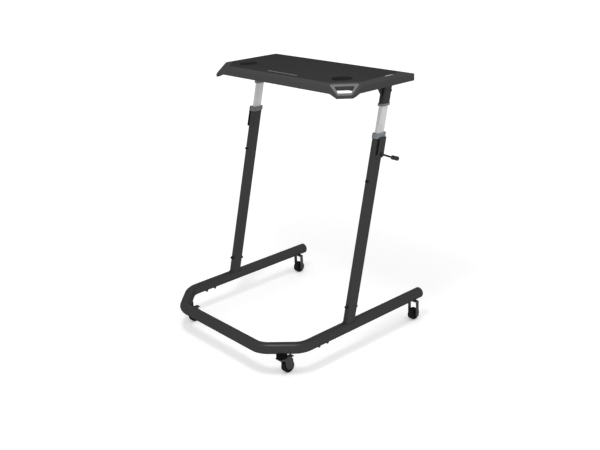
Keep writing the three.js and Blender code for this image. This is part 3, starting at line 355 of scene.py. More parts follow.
# A finish for each slot, then the finishes of single pieces
FINISHES = {
    "black_paint": dict(
        colour=grey(0.019), rough=0.35, bump=0.06, grain=1400, wear=0.03, mottling=0.06, gleam=0,
        polish=0.027,
    ),
    "silver_tube": dict(
        colour=grey(0.64), rough=0.45, metal=0.1, bump=0.05, grain=500, wear=0.08, mottling=0.03, gleam=0.2,
    ),
    "steel": dict(colour=grey(0.3), rough=0.38, metal=0.8, grain=700, wear=0.2, gleam=0.5),
    "black_plastic": dict(
        colour=grey(0.037), rough=0.5, bump=0.15, grain=1100, wear=0.02, mottling=0.08, gleam=0,
        polish=0.014,
    ),
    "collar_plastic": dict(
        colour=(0.21, 0.23, 0.25), rough=0.5, bump=0.12, grain=1100, wear=0.08, mottling=0.06, gleam=0.1,
    ),
    "ring_plastic": dict(
        colour=grey(0.21), rough=0.5, bump=0.12, grain=1100, wear=0.1, mottling=0.06, gleam=0.1,
    ),
    "desk_plastic": dict(
        colour=grey(0.046), rough=0.6, bump=0.3, grain=1500, wear=0.05, mottling=0.06, gleam=0, polish=0.012,
    ),
    "mat_rubber": dict(
        colour=grey(0.0255), rough=0.75, bump=0.5, grain=1900, wear=0.02, mottling=0.05, gleam=0,
        polish=0.01,
    ),
    "bezel_plastic": dict(colour=grey(0.14), rough=0.45, bump=0.08, wear=0.1, mottling=0.04, gleam=0.15),
    "wheel_rubber": dict(
        colour=grey(0.007), rough=0.5, bump=0.2, grain=800, wear=0.04, mottling=0.15, gleam=0, polish=0.01,
    ),
    "caster_plastic": dict(
        colour=grey(0.048), rough=0.5, bump=0.12, grain=1000, wear=0.03, gleam=0, polish=0.015,
    ),
    # A darker copy of the collar's finish: painted shade for the left collar
    "collar_painted_shade": dict(
        colour=grey(0.18), rough=0.5, bump=0.12, grain=1100, wear=0.08, mottling=0.06, gleam=0.15,
    ),
    # Near-black: painted shade in the gearbox cover's slot
    "slot_painted_shade": dict(colour=grey(0.002), rough=0.8, wear=0, gleam=0.02),
    "mount_dark": dict(colour=grey(0.005), rough=0.7, bump=0.12, grain=1000, wear=0.02, gleam=0.02),
    "dark_bolt": dict(colour=grey(0.05), rough=0.4, metal=0.5, wear=0.1),
    # Dark fasteners; on the left gearbox cover the same finish is painted shade
    "fastener_dark_and_shade": dict(colour=grey(0.006), rough=0.5, wear=0.05, gleam=0, polish=0.012),
    # Painted shade in the cup wells
    "well_painted_shade": dict(colour=grey(0.03), rough=0.7, bump=0.3, grain=1500, wear=0, mottling=0.05, gleam=0.05),
    # Painted highlight on the tablet groove's back wall
    "groove_painted_highlight": dict(colour=grey(0.3), rough=0.5, wear=0, mottling=0.15),
    # Painted glint on the side ridges
    "glint_painted_pale": dict(colour=grey(0.55), rough=0.4, wear=0, mottling=0.05, gleam=0.4),
}
LOOKS = {name: material(name, **finish) for name, finish in FINISHES.items()}


# Making meshes

def circle(radius, count):
    step = 2 * pi / count
    return [(radius * cos((i + 0.5) * step), radius * sin((i + 0.5) * step)) for i in range(count)]


def rounded(width, depth, radius, steps=6):
    points = []
    for quarter, (sx, sy) in enumerate(((1, 1), (-1, 1), (-1, -1), (1, -1))):
        for i in range(steps + 1):
            angle = (quarter + i / steps) * pi / 2
            points.append((
                sx * (width / 2 - radius) + radius * cos(angle),
                sy * (depth / 2 - radius) + radius * sin(angle),
            ))
    return points


def soften(outline, radius, steps=4):
    """Rounds each corner of an outline by an arc that touches both sides."""
    points = []
    count = len(outline)
    for i, corner in enumerate(outline):
        here = Vector(corner)
        before = Vector(outline[i - 1]) - here
        after = Vector(outline[(i + 1) % count]) - here
        half = before.angle(after) / 2
        reach = min(radius / tan(half), before.length * 0.45, after.length * 0.45)
        start = here + before.normalized() * reach
        end = here + after.normalized() * reach
        for k in range(steps + 1):
            t = k / steps
            points.append(tuple(start * (1 - t) ** 2 + here * 2 * t * (1 - t) + end * t ** 2))
    return points


def level(points, z):
    return [(x, y, z) for x, y in points]


def sloped(points, t):
    """A ring across a post that is level with the floor once the post leans."""
    return [(x, y, t + y * tan(LEAN)) for x, y in points]


def weld(made, reach=TOUCHING):
    """Joins the points that meet."""
    bmesh.ops.remove_doubles(made, verts=made.verts, dist=reach)


def loft(rings, bores=None, ends=True):
    """A mesh over rings of points, with flat ends, or a tube if it has bores."""
    made = bmesh.new()

    def walls(source, flip):
        loops = [[made.verts.new(p) for p in ring] for ring in source]
        for low, high in zip(loops, loops[1:]):
            for i in range(len(low)):
                j = (i + 1) % len(low)
                face = (low[i], low[j], high[j], high[i])
                made.faces.new(face[::-1] if flip else face)
        return loops

    outer = walls(rings, False)
    if bores:
        inner = walls(bores, True)
        for a, b, flip in ((outer[0], inner[0], True), (outer[-1], inner[-1], False)):
            for i in range(len(a)):
                j = (i + 1) % len(a)
                face = (a[i], a[j], b[j], b[i])
                made.faces.new(face[::-1] if flip else face)
    elif ends:
        made.faces.new(outer[0][::-1])
        made.faces.new(outer[-1])
    return made


def lathe(profile, count=48, axis="Z"):
    """Turns (radius, height) pairs about the axis. Pairs on the axis close the form."""
    rings = [level(circle(max(radius, TOUCHING), count), height) for radius, height in profile]
    made = loft(rings)
    weld(made, AXIS_TOUCHING)
    if axis == "X":
        made.transform(turned(QUARTER, "Y"))
    if axis == "Y":
        made.transform(turned(-QUARTER, "X"))
    return made


def rod(radius, half, count, axis):
    return lathe([(0, -half), (radius, -half), (radius, half), (0, half)], count, axis)


def prism(outline, low, high):
    return loft([level(outline, low), level(outline, high)])


def on_side(outline, x0, x1):
    """An outline in (y, z), thick along X."""
    made = prism(outline, x0, x1)
    made.transform(Matrix(((0, 0, 1, 0), (1, 0, 0, 0), (0, 1, 0, 0), (0, 0, 0, 1))))
    return made


def block(x0, x1, y0, y1, z0, z1):
    return prism([(x0, y0), (x1, y0), (x1, y1), (x0, y1)], z0, z1)


def moved(made, *matrices):
    for matrix in matrices:
        made.transform(matrix)
    return made


def joined(*parts):
    whole = parts[0]
    for part in parts[1:]:
        mesh = bpy.data.meshes.new("part")
        part.to_mesh(mesh)
        part.free()
        whole.from_mesh(mesh)
        bpy.data.meshes.remove(mesh)
    return whole


def to_object(made, name):
    bmesh.ops.recalc_face_normals(made, faces=made.faces)
    mesh = bpy.data.meshes.new(name)
    made.to_mesh(mesh)
    made.free()
    return add_object(name, mesh)


def settle(thing):
    """Applies the piece's modifiers."""
    graph = bpy.context.evaluated_depsgraph_get()
    mesh = bpy.data.meshes.new_from_object(thing.evaluated_get(graph))
    thing.modifiers.clear()
    old = thing.data
    thing.data = mesh
    bpy.data.meshes.remove(old)
    return thing


def carve(thing, cutters, operation="DIFFERENCE"):
    for made in cutters:
        tool = to_object(made, "cutter")
        change = thing.modifiers.new("carve", "BOOLEAN")
        change.operation = operation
        change.solver = "EXACT"
        change.object = tool
        settle(thing)
        bpy.data.objects.remove(tool, do_unlink=True)
    return thing


def dress(thing, look, body, replaces, bevel=0.0, slot=None, sharp=35.0, segments=3):
    """Rounds the piece's edges, shades it, gives it its finish and hangs it on its body."""
    if bevel:
        change = thing.modifiers.new("edges", "BEVEL")
        change.width = bevel
        change.segments = segments
        change.limit_method = "ANGLE"
        change.angle_limit = radians(sharp)
        change.use_clamp_overlap = True
        settle(thing)
    mesh = thing.data
    mesh.materials.clear()
    mesh.materials.append(LOOKS[look])
    for face in mesh.polygons:
        face.use_smooth = True
    mesh.set_sharp_from_angle(angle=radians(sharp))
    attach(thing, body)
    if replaces:
        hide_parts(*replaces)
    return thing


def piece(made, name, look, body, replaces=(), **more):
    return dress(to_object(made, name), look, body, replaces, **more)


def skin(made, node_name, tag, look, body, **more):
    """A piece that takes the place of one side's solid."""
    return piece(made, node_name + "_skin_" + tag, look, body, [node_name + "_" + tag], **more)


def shift(x=0.0, y=0.0, z=0.0):
    return Matrix.Translation((x, y, z))


def turned(angle, axis):
    return Matrix.Rotation(angle, 4, axis)


MIRROR = Matrix.Scale(-1, 4, (1, 0, 0))


def to_side(made, side):
    """Mirrors what was made for the right side if it goes on the left."""
    if side < 0:
        made.transform(MIRROR)
    return made


def taken(thing):
    """The form of an object that isn't needed any more."""
    made = bmesh.new()
    made.from_mesh(thing.data)
    bpy.data.objects.remove(thing, do_unlink=True)
    return made


def screw(head_r, head_h, shank_r, shank_l):
    """Domed head with a hexagonal socket, its shank along +Z from the seat."""
    socket_r = head_r * 0.42
    socket_d = head_h * 0.55
    arcs = [(sin(a), cos(a)) for a in (0.5, 0.8, 1.1, 1.35, 1.57)]
    dome = [(head_r * s, -head_h * c * 0.99) for s, c in arcs]
    profile = [(0, -head_h + socket_d), (socket_r, -head_h + socket_d), (socket_r, -head_h * 0.97)]
    return lathe(profile + dome + [(head_r, 0), (shank_r, 0), (shank_r, shank_l), (0, shank_l)], 24)


def cap_nut(head_r, head_h, shank_r, shank_l):
    """Tall domed cap on a thin flange, its shank along +Z from the seat."""
    flange = 1.4 * MM
    neck = head_r * 0.88
    shoulder = head_h * 0.55
    arcs = [(sin(a), cos(a)) for a in (0.35, 0.65, 0.95, 1.25, 1.57)]
    dome = [(neck * s, -shoulder - (head_h - shoulder) * c) for s, c in arcs]
    return lathe(
        [(0, -head_h)] + dome + [
            (neck, -flange - 0.4 * MM), (head_r - 0.3 * MM, -flange), (head_r, -flange + 0.3 * MM),
            (head_r, 0), (shank_r, 0), (shank_r, shank_l), (0, shank_l),
        ], 28)


# Base

def front_path():
    corners = [
        (-RAIL_X, SEAM_Y), (-RAIL_X, FRONT_Y + CORNER_CUT), (-RAIL_X + CORNER_CUT, FRONT_Y),
        (RAIL_X - CORNER_CUT, FRONT_Y), (RAIL_X, FRONT_Y + CORNER_CUT), (RAIL_X, SEAM_Y),
    ]
    places = [(Vector(corners[0]), Vector((0, -1)))]
    for i in range(1, len(corners) - 1):
        here = Vector(corners[i])
        before = (here - Vector(corners[i - 1])).normalized()
        after = (Vector(corners[i + 1]) - here).normalized()
        turn = before.angle(after)
        start = here - before * BEND_R * tan(turn / 2)
        left = Vector((-before.y, before.x))
        centre = start + left * BEND_R
        for k in range(BEND_STEPS + 1):
            spin = Matrix.Rotation(turn * k / BEND_STEPS, 2)
            places.append((centre + spin @ (start - centre), spin @ before))
    places.append((Vector(corners[-1]), Vector((0, 1))))
    return places


def bent_tube(places, radius, count=40):
    rings = []
    for place, heading in places:
        rings.append([
            (place.x - heading.y * u + X_SHIFT, place.y + heading.x * u, RAIL_Z + v)
            for u, v in circle(radius, count)
        ])
    return rings


def make_base():
    path = front_path()
    front = loft(bent_tube(path, RAIL_R), bent_tube(path, RAIL_BORE))
    piece(front, "front_tube_skin", "black_paint", "base", ["base_front_tube"], sharp=40)
    for tag, side in SIDES:
        x = side * RAIL_X
        straight = [(Vector((x, y)), Vector((0, 1))) for y in (SEAM_Y + GAP, REAR_Y - GAP)]
        tube = loft(bent_tube(straight, RAIL_R), bent_tube(straight, RAIL_BORE))
        skin(tube, "rail", tag, "black_paint", "base", sharp=40)
        cap = lathe([
            (0, CAP_DOME), (RAIL_R * 0.5, CAP_DOME * 0.93), (RAIL_R * 0.78, CAP_DOME * 0.72),
            (RAIL_R * 0.94, CAP_DOME * 0.36), (RAIL_R, 0), (RAIL_BORE - GAP, 0),
            (RAIL_BORE - GAP, -CAP_PLUG), (0, -CAP_PLUG),
        ], 40, "Y")
        cap.transform(shift(x + X_SHIFT, REAR_Y, RAIL_Z))
        skin(cap, "rail_cap", tag, "black_plastic", "base", sharp=50)
        for i in range(2):
            y = SEAM_Y - SCREW_FROM_SEAM - i * SCREW_PITCH
            head = cap_nut(head_r=6.5 * MM, head_h=9 * MM, shank_r=3 * MM, shank_l=10 * MM)
            head.transform(shift(x + X_SHIFT, y, RAIL_UNDER - GAP))
            name = "rail_screw_%s%d" % (tag, i + 1)
            piece(head, name + "_skin", "black_plastic", "base", [name], slot="steel")


# Posts

def post_place(side):
    return shift(side * RAIL_X + X_SHIFT, FOOT_Y, RAIL_Z) @ turned(-LEAN, "X")


def through_bolt(depth, shank_r, head_r, head_h, cap_h):
    near_make = cap_nut if head_h > head_r else screw
    near = near_make(head_r, head_h, shank_r, depth / 2)
    near.transform(shift(0, -depth / 2 - GAP, 0) @ turned(-QUARTER, "X"))
    far = cap_nut(head_r, cap_h, shank_r, depth / 2)
    far.transform(shift(0, depth / 2 + GAP, 0) @ turned(QUARTER, "X"))
    return joined(near, far)


def make_weld(tag, place):
    """A rippled bead of weld round the post's foot."""
    path = []
    for x, y in rounded(POST_W + 2 * BEAD_OUT, POST_D + 2 * BEAD_OUT, POST_R, 5):
        drop = sqrt(max((RAIL_R + BEAD_LIFT) ** 2 - x * x, 0))
        path.append(Vector((x, y, (drop + y * sin(LEAN)) / cos(LEAN))))
    rings = []
    for i, spot in enumerate(path):
        ahead = (path[(i + 1) % len(path)] - path[i - 1]).normalized()
        out = Vector((spot.x, spot.y, 0)).normalized()
        up = ahead.cross(out).normalized()
        size = BEAD_R + BEAD_RIPPLE * sin(i * RIPPLE_STEP)
        rings.append([tuple(spot + out * u * size + up * v * size) for u, v in circle(1, 8)])
    rings.append(rings[0])
    bead = loft(rings, ends=False)
    weld(bead)
    bead.transform(place)
    piece(bead, "foot_weld_" + tag, "black_paint", "base", sharp=60)


def make_post(tag, side):
    place = post_place(side)
    outline = rounded(POST_W, POST_D, POST_R)
    bore = rounded(POST_W - 2 * TUBE_WALL, POST_D - 2 * TUBE_WALL, POST_R - TUBE_WALL)
    tube = to_object(loft(
        [level(outline, 0), sloped(outline, POST_TOP)], [level(bore, 0), sloped(bore, POST_TOP)],
    ), "post_skin_" + tag)
    rail = rod(RAIL_R + GAP, SADDLE_REACH, FINE, "Y")
    rail.transform(turned(LEAN, "X"))
    window = lathe([(0, 0), (WINDOW_R, 0), (WINDOW_R, WINDOW_DEPTH), (0, WINDOW_DEPTH)], 32, "X")
    to_side(window, side)
    window.transform(shift(0, CRANK_OFF, CRANK_AT))
    carve(tube, [rail, window])
    tube.data.transform(place)
    dress(tube, "black_paint", "base", ["post_" + tag], sharp=32)

    make_weld(tag, place)
    bolt = through_bolt(POST_D, shank_r=4 * MM, head_r=7 * MM, head_h=12.5 * MM, cap_h=12.5 * MM)
    bolt.transform(place @ shift(0, 0, FOOT_BOLT_AT))
    skin(bolt, "foot_bolt", tag, "fastener_dark_and_shade", "base", slot="black_plastic")
    face = cap_nut(head_r=5 * MM, head_h=12 * MM, shank_r=2.5 * MM, shank_l=1.5 * MM)
    face.transform(place @ shift(0, -POST_D / 2 - GAP, FACE_SCREW_AT) @ turned(-QUARTER, "X"))
    skin(face, "face_screw", tag, "fastener_dark_and_shade", "base", slot="steel")


def make_collar(tag, side):
    place = post_place(side)
    bottom = POST_TOP - COLLAR_SKIRT
    top = bottom + COLLAR_H

    def ring(grow, z):
        proud = 2 * (COLLAR_PROUD + GAP) - 2 * grow
        return sloped(rounded(POST_W + proud, POST_D + proud, POST_R + COLLAR_PROUD - grow), z)

    outer = [
        ring(0.6 * MM, bottom), ring(0, bottom + 0.7 * MM), ring(0, top - 1.2 * MM),
        ring(0.35 * MM, top - 0.4 * MM), ring(1.2 * MM, top),
    ]

    def hole(grow, z):
        grown = 2 * (SLIDE + grow)
        return sloped(rounded(INNER_W + grown, INNER_D + grown, INNER_R + SLIDE + grow), z)

    inner = [
        hole(BUSH_ROOM, bottom), hole(BUSH_ROOM, POST_TOP), hole(0, POST_TOP), hole(0, top - 2.4 * MM),
        hole(0.4 * MM, top - 0.8 * MM), hole(1.2 * MM, top),
    ]
    collar = to_object(loft(outer, inner), "collar_skin_" + tag)
    # The rack runs past the bush in a slot of its own
    slot = block(INNER_W / 2 - GAP, RACK_OUT, RACK_FROM, RACK_TO, bottom - COLLAR_H, top + COLLAR_H)
    to_side(slot, side)
    carve(collar, [slot])
    collar.data.transform(place)
    # The left collar takes a darker copy of the collar's finish: painted shade on the side away from the
    # light
    look = "collar_plastic" if side > 0 else "collar_painted_shade"
    dress(collar, look, "base", ["collar_" + tag], slot="collar_plastic", sharp=30)


def make_gearbox(tag, side):
    place = post_place(side)
    near = -GEARBOX_W / 2 - GEARBOX_SHIFT
    far = GEARBOX_W / 2 - GEARBOX_SHIFT
    top = GEARBOX_TOP if side > 0 else GEARBOX_TOP + IDLER_RISE
    bottom = GEARBOX_TOP - GEARBOX_H

    def ring(inset, x):
        a = near + inset
        b = far - inset
        low = bottom + inset
        high = top - inset
        outline = soften([
            (a, low), (b - GEARBOX_CHAMFER, low), (b, low + GEARBOX_CHAMFER),
            (b, high + b * tan(LEAN)), (a, high + a * tan(LEAN)),
        ], 2.5 * MM)
        return [(x, y, z) for y, z in outline]

    seat = POST_W / 2 + GAP
    cover = to_object(loft([
        ring(0, seat), ring(0, GEARBOX_FACE - 1.6 * MM), ring(0.4 * MM, GEARBOX_FACE - 0.7 * MM),
        ring(1.1 * MM, GEARBOX_FACE - 0.15 * MM), ring(1.9 * MM, GEARBOX_FACE),
    ]), "gearbox_skin_" + tag)
    slot_low = CRANK_AT - 6 * MM
    slot_high = GEARBOX_TOP - 8 * MM
    slot_near = seat + 0.3 * MM
    slot_far = GEARBOX_FACE - 1.2 * MM
    slot = block(slot_near, slot_far, near - SLOT_DEEP, near + SLOT_DEEP, slot_low, slot_high)
    proud = 2 * (COLLAR_PROUD + 2 * GAP)
    room = rounded(POST_W + proud, POST_D + proud, POST_R + COLLAR_PROUD + GAP)
    foot = POST_TOP - COLLAR_SKIRT - GAP
    carve(cover, [slot, loft([sloped(room, foot), sloped(room, foot + GEARBOX_H)])])
    # A near-black sheet on the slot's wall: painted shade in the recess
    shade_sheet = block(
        slot_near + SHADE_SHEET_GAP, slot_far - SHADE_SHEET_GAP, near + SLOT_DEEP - SHADE_SHEET_GAP - SHADE_SHEET_T,
        near + SLOT_DEEP - SHADE_SHEET_GAP, slot_low + SHADE_SHEET_GAP, slot_high - SHADE_SHEET_GAP,
    )
    if side < 0:
        cover.data.transform(MIRROR)
        cover.data.flip_normals()
        shade_sheet.transform(MIRROR)
    cover.data.transform(place)
    shade_sheet.transform(place)
    # The left cover takes the near-black fastener finish: painted shade on the side away from the light
    look = "black_plastic" if side > 0 else "fastener_dark_and_shade"
    dress(cover, look, "base", ["gearbox_" + tag], slot="black_plastic", sharp=50)
    piece(shade_sheet, "gearbox_slot_shade_" + tag, "slot_painted_shade", "base", slot="black_plastic")
    for z in (bottom + 9 * MM, GEARBOX_TOP - 9 * MM):
        head = screw(head_r=2.6 * MM, head_h=0.9 * MM, shank_r=1.4 * MM, shank_l=1.4 * MM)
        head.transform(turned(-QUARTER, "Y"))
        head.transform(shift(GEARBOX_FACE - 0.5 * MM, near + 8.5 * MM, z))
        to_side(head, side)
        head.transform(place)
        piece(head, "cover_screw_%s_%d" % (tag, round(z / MM)), "black_plastic", "base")


def make_crank():
    place = post_place(1) @ shift(0, CRANK_OFF, CRANK_AT)
    start = GEARBOX_FACE + GAP
    tip_y = ARM_REACH * cos(-ARM_DROP)
    tip_z = ARM_REACH * sin(-ARM_DROP)
    steps = 16
    outline = []
    for middle, radius, facing in ((0, HUB_R, 0), (ARM_REACH, TIP_R, pi)):
        mouth = asin(ARM_HALF_W / radius)
        for i in range(steps + 1):
            angle = facing + mouth + 2 * (pi - mouth) * i / steps
            outline.append((middle + radius * cos(angle), radius * sin(angle)))
    arm = on_side(outline, start, start + ARM_T)
    arm.transform(turned(-ARM_DROP, "X"))
    arm.transform(place)
    piece(arm, "crank_arm_skin", "fastener_dark_and_shade", "crank", ["crank_arm"], slot="black_paint", bevel=0.7 * MM)
    boss = lathe([
        (0, 0), (BOSS_R, 0), (BOSS_R, BOSS_L - 3 * MM), (BOSS_R - 0.6 * MM, BOSS_L - 1 * MM),
        (BOSS_R - 1.6 * MM, BOSS_L), (PIN_R, BOSS_L), (PIN_R, BOSS_L - 2.5 * MM), (0, BOSS_L - 2.5 * MM),
    ], 32, "X")
    boss.transform(place @ shift(start, 0, 0))
    piece(boss, "crank_boss", "black_plastic", "crank")
    pin = lathe([
        (0, 0), (PIN_R, 0), (PIN_R, PIN_L - 1.6 * MM), (PIN_R + 1.8 * MM, PIN_L - 1.6 * MM),
        (PIN_R + 1.6 * MM, PIN_L - 0.5 * MM), (PIN_R + 0.5 * MM, PIN_L), (0, PIN_L),
    ], 24, "X")
    pin.transform(place @ shift(start, tip_y, tip_z))
    piece(pin, "crank_pin", "black_paint", "crank")
    # Shares of the swell from the waist, and of the length
    shares = (
        (0.75, 0.012), (1.0, 0.05), (1.0, 0.12), (0.9, 0.2), (0.8, 0.35), (0.77, 0.5),
        (0.8, 0.68), (0.95, 0.84), (1.0, 0.92), (0.9, 0.97), (0.6, 1.0),
    )
    profile = [(KNOB_BORE, 0)]
    for swell, along in shares:
        profile.append((KNOB_WAIST + (KNOB_R - KNOB_WAIST) * swell, KNOB_L * along))
    profile += [(KNOB_BORE, KNOB_L), (KNOB_BORE, 0)]
    rings = [level(circle(radius, 40), height) for radius, height in profile]
    knob = loft(rings, ends=False)
    weld(knob)
    knob.transform(turned(QUARTER, "Y"))
    knob.transform(place @ shift(start + ARM_T + GAP, tip_y, tip_z))
    piece(knob, "crank_knob_skin", "black_plastic", "crank_handle", ["crank_knob"], sharp=45)


def make_inner(tag, side):
    place = post_place(side)
    outline = rounded(INNER_W, INNER_D, INNER_R)
    bore = rounded(INNER_W - 2 * TUBE_WALL, INNER_D - 2 * TUBE_WALL, INNER_R - TUBE_WALL)
    tube = loft(
        [level(outline, INNER_BOTTOM), level(outline, INNER_TOP)],
        [level(bore, INNER_BOTTOM), level(bore, INNER_TOP)],
    )
    tube.transform(place)
    skin(tube, "inner_tube", tag, "silver_tube", "lift", sharp=32)


def make_sleeve(tag, side):
    place = post_place(side)
    plane = PLATE_Z - GAP - RAIL_Z
    sleeve_top = plane / cos(LEAN)

    def around(proud):
        grown = 2 * (SLIDE + proud)
        return rounded(INNER_W + grown, INNER_D + grown, INNER_R + SLIDE + proud)

    outer = around(SLEEVE_WALL)
    bore = around(SLEEVE_PLAY)
    tube = loft(
        [sloped(outer, SLEEVE_BOTTOM), sloped(outer, sleeve_top)],
        [sloped(bore, SLEEVE_BOTTOM), sloped(bore, sleeve_top)],
    )
    tube.transform(place)
    skin(tube, "upper_sleeve", tag, "black_paint", "lift", sharp=32)

    face = -INNER_D / 2 - SLIDE - SLEEVE_WALL

    def top_at(y):
        return (plane + y * sin(LEAN)) / cos(LEAN)

    root = face + 1 * MM
    tip = face - GUSSET_REACH
    outline = soften([
        (root, top_at(face)), (tip, top_at(tip)), (tip, top_at(tip) - GUSSET_T),
        (root, top_at(face) - GUSSET_DROP),
    ], 2 * MM)
    gusset = on_side(outline, -GUSSET_T / 2, GUSSET_T / 2)
    gusset.transform(place)
    piece(gusset, "gusset_skin_" + tag, "black_paint", "lift", bevel=0.6 * MM)

    heights = (RING_H, RING_H - RING_EDGE, RING_EDGE, 0)
    ring = loft(
        [
            sloped(around(SLEEVE_WALL + RING_PROUD - edge), SLEEVE_BOTTOM - GAP - z)
            for edge, z in zip((RING_EDGE, 0, 0, RING_EDGE), heights)
        ],
        [sloped(around(SLEEVE_PLAY), SLEEVE_BOTTOM - GAP - z) for z in heights],
    )
    ring.transform(place)
    skin(ring, "sleeve_ring", tag, "ring_plastic", "lift", sharp=32)

    depth = INNER_D + 2 * (SLIDE + SLEEVE_WALL)
    bolt = through_bolt(depth, shank_r=3 * MM, head_r=6 * MM, head_h=4 * MM, cap_h=11 * MM)
    bolt.transform(place @ shift(0, 0, UPPER_BOLT_AT))
    skin(bolt, "upper_bolt", tag, "fastener_dark_and_shade", "lift", slot="black_plastic")


# Desktop

def desk_outline(inset, front_cut, back_cut, taper, back_inset):
    x = DESK_W / 2 - inset
    front = DESK_FRONT + inset
    back = DESK_BACK - back_inset
    return [
        (-x + front_cut, front), (x - front_cut, front), (x, front + front_cut),
        (x - taper, back - back_cut), (x - taper - back_cut, back), (-x + taper + back_cut, back),
        (-x + taper, back - back_cut), (-x, front + front_cut),
    ]


CORNER = shift(DESK_W / 2 - FRONT_CUT / 2, DESK_FRONT + FRONT_CUT / 2, 0) @ turned(pi / 4, "Z")


def to_corner(made, side):
    made.transform(CORNER @ shift(-GRIP_SHIFT))
    to_side(made, side)
    made.transform(shift(X_SHIFT))
    return made


def lifted(outline, offset):
    """An outline laid on the grip's slope, which rises as far as it goes back."""
    return [(u, v, LIP_TOP + v + offset) for u, v in outline]


def on_slope(outline, low, high):
    return loft([lifted(outline, low), lifted(outline, high)])


def grip_outline(top_width, foot_width, band):
    near = GRIP_BAR - band
    far = GRIP_BAR + GRIP_REACH + band
    return [(-foot_width / 2, near), (foot_width / 2, near), (top_width / 2, far), (-top_width / 2, far)]


def cup_cylinder(side, radius, low, high):
    return moved(prism(circle(radius, FINE), low, high), cup_place(side))


def cup_place(side):
    return shift(side * CUP_X + X_SHIFT, CUP_Y)


def tray_prism(grow, low, high):
    x = TRAY_W / 2 + grow
    y = TRAY_D / 2 + grow
    outline = soften([(-x, TRAY_Y - y), (x, TRAY_Y - y), (x, TRAY_Y + y), (-x, TRAY_Y + y)], SMALL_R)
    return moved(prism(outline, low, high), shift(X_SHIFT))


def make_desktop():
    inset = RIM_DRAFT + BEVEL_W
    rim = DESK_UNDER + RIM_H

    def ring(extra, z, taper=0.0, back=0.0, back_cut=BACK_CUT):
        outline = soften(desk_outline(extra, FRONT_CUT, back_cut, taper, back), DESK_CORNER_R)
        return [(x + X_SHIFT, y, z) for x, y in outline]

    shell = to_object(loft([
        ring(0.8 * MM, DESK_UNDER, 0, 0.8 * MM), ring(0, DESK_UNDER + 0.9 * MM),
        ring(RIM_DRAFT - 0.2 * MM, rim - 1.6 * MM, -RIM_DRAFT + 0.2 * MM),
        ring(RIM_DRAFT + 0.5 * MM, rim - 0.3 * MM, -RIM_DRAFT, 0.5 * MM),
        ring(RIM_DRAFT + 2 * MM, rim + 0.6 * MM, -RIM_DRAFT, 2.6 * MM),
        ring(inset - 1.2 * MM, DESK_TOP - 0.35 * MM, MAT_TAPER * 0.94, BACK_BEVEL - 1.5 * MM, MAT_BACK_CUT),
        ring(inset, DESK_TOP, MAT_TAPER, BACK_BEVEL, MAT_BACK_CUT),
    ]), "desktop_skin")
    low = DESK_UNDER - GRIP_DROP
    hollow = to_object(loft([
        ring(WALL, low - CUT_CLEAR, 0, WALL), ring(WALL + RIM_DRAFT, rim - WALL, -RIM_DRAFT, WALL),
        ring(inset + WALL, DESK_TOP - MAT_T - GAP - WALL, MAT_TAPER, BACK_BEVEL + WALL, MAT_BACK_CUT),
    ]), "hollow")

    half = GRIP_W / 2
    apron_half = APRON_W / 2
    far = 2 * GRIP_W
    everywhere = [(-far, -far), (far, -far), (far, far), (-far, far)]
    lip = soften([(-half, -LIP_PROUD), (half, -LIP_PROUD), (half, GRIP_BAR), (-half, GRIP_BAR)], SMALL_R)
    pad = soften(grip_outline(BEZEL_TOP_W, BEZEL_FOOT_W, BEZEL_BAND), BEZEL_CORNER_R)

    def skirt(width):
        return [(-width, 0), (width, 0), (width, apron_half), (-width, apron_half)]

    for _, side in SIDES:
        apron = to_object(to_corner(loft([
            level(skirt(half), low), level(skirt(apron_half), DESK_UNDER + 1.2 * MM),
        ]), side), "apron")
        hanging = loft([ring(0, low - CUT_CLEAR), ring(0, rim)])
        carve(apron, [hanging], "INTERSECT")
        pad_block = to_corner(on_slope(pad, -GRIP_PAD, 1 * MM), side)
        carve(shell, [taken(apron), to_corner(prism(lip, low, rim), side), pad_block], "UNION")
        carve(shell, [to_corner(on_slope(everywhere, 0, far), side)])
        carve(hollow, [to_corner(on_slope(everywhere, -WALL * sqrt(2), far), side)])
    carve(shell, [taken(hollow)])

    above = DESK_TOP + CUT_CLEAR
    within = DESK_TOP - MAT_T - GAP - WALL / 2
    additions = []
    for _, side in SIDES:
        additions.append(cup_cylinder(side, CUP_R + CUP_WALL, DESK_TOP - CUP_DEPTH - CUP_WALL, within))
        half = GRIP_TOP_W / 2 + WALL
        opening_far = GRIP_BAR + GRIP_REACH
        opening_top = LIP_TOP + opening_far
        wall_far = opening_far + WALL
        wall = [(-half, opening_far), (half, opening_far), (half, wall_far), (-half, wall_far)]
        additions.append(to_corner(prism(wall, opening_top - GRIP_WELL, opening_top - WALL / 2), side))
    additions.append(block(
        -TRAY_W / 2 - WALL + X_SHIFT, TRAY_W / 2 + WALL + X_SHIFT, TRAY_Y - TRAY_D / 2 - WALL,
        TRAY_Y + TRAY_D / 2 + WALL, DESK_TOP - TRAY_SINK - WALL, within,
    ))
    carve(shell, additions, "UNION")

    cutters = []
    mat_seat = soften(
        desk_outline(inset + MAT_RIM, MAT_CUT, MAT_BACK_CUT, MAT_TAPER, BACK_BEVEL + MAT_RIM), MAT_CORNER_R,
    )
    cutters.append(moved(prism(mat_seat, DESK_TOP - MAT_T - GAP, above), shift(X_SHIFT)))
    for _, side in SIDES:
        cutters.append(cup_cylinder(side, CUP_R, DESK_TOP - CUP_DEPTH, above))
        opening = soften(grip_outline(GRIP_TOP_W, GRIP_FOOT_W, 0), SMALL_R)
        cutters.append(to_corner(prism(opening, low - CUT_CLEAR, above), side))
    cutters.append(tray_prism(0, DESK_TOP - TRAY_SINK, above))
    carve(shell, cutters)
    dress(shell, "desk_plastic", "lift", ["desktop_shell"], bevel=0.8 * MM, sharp=28, segments=2)


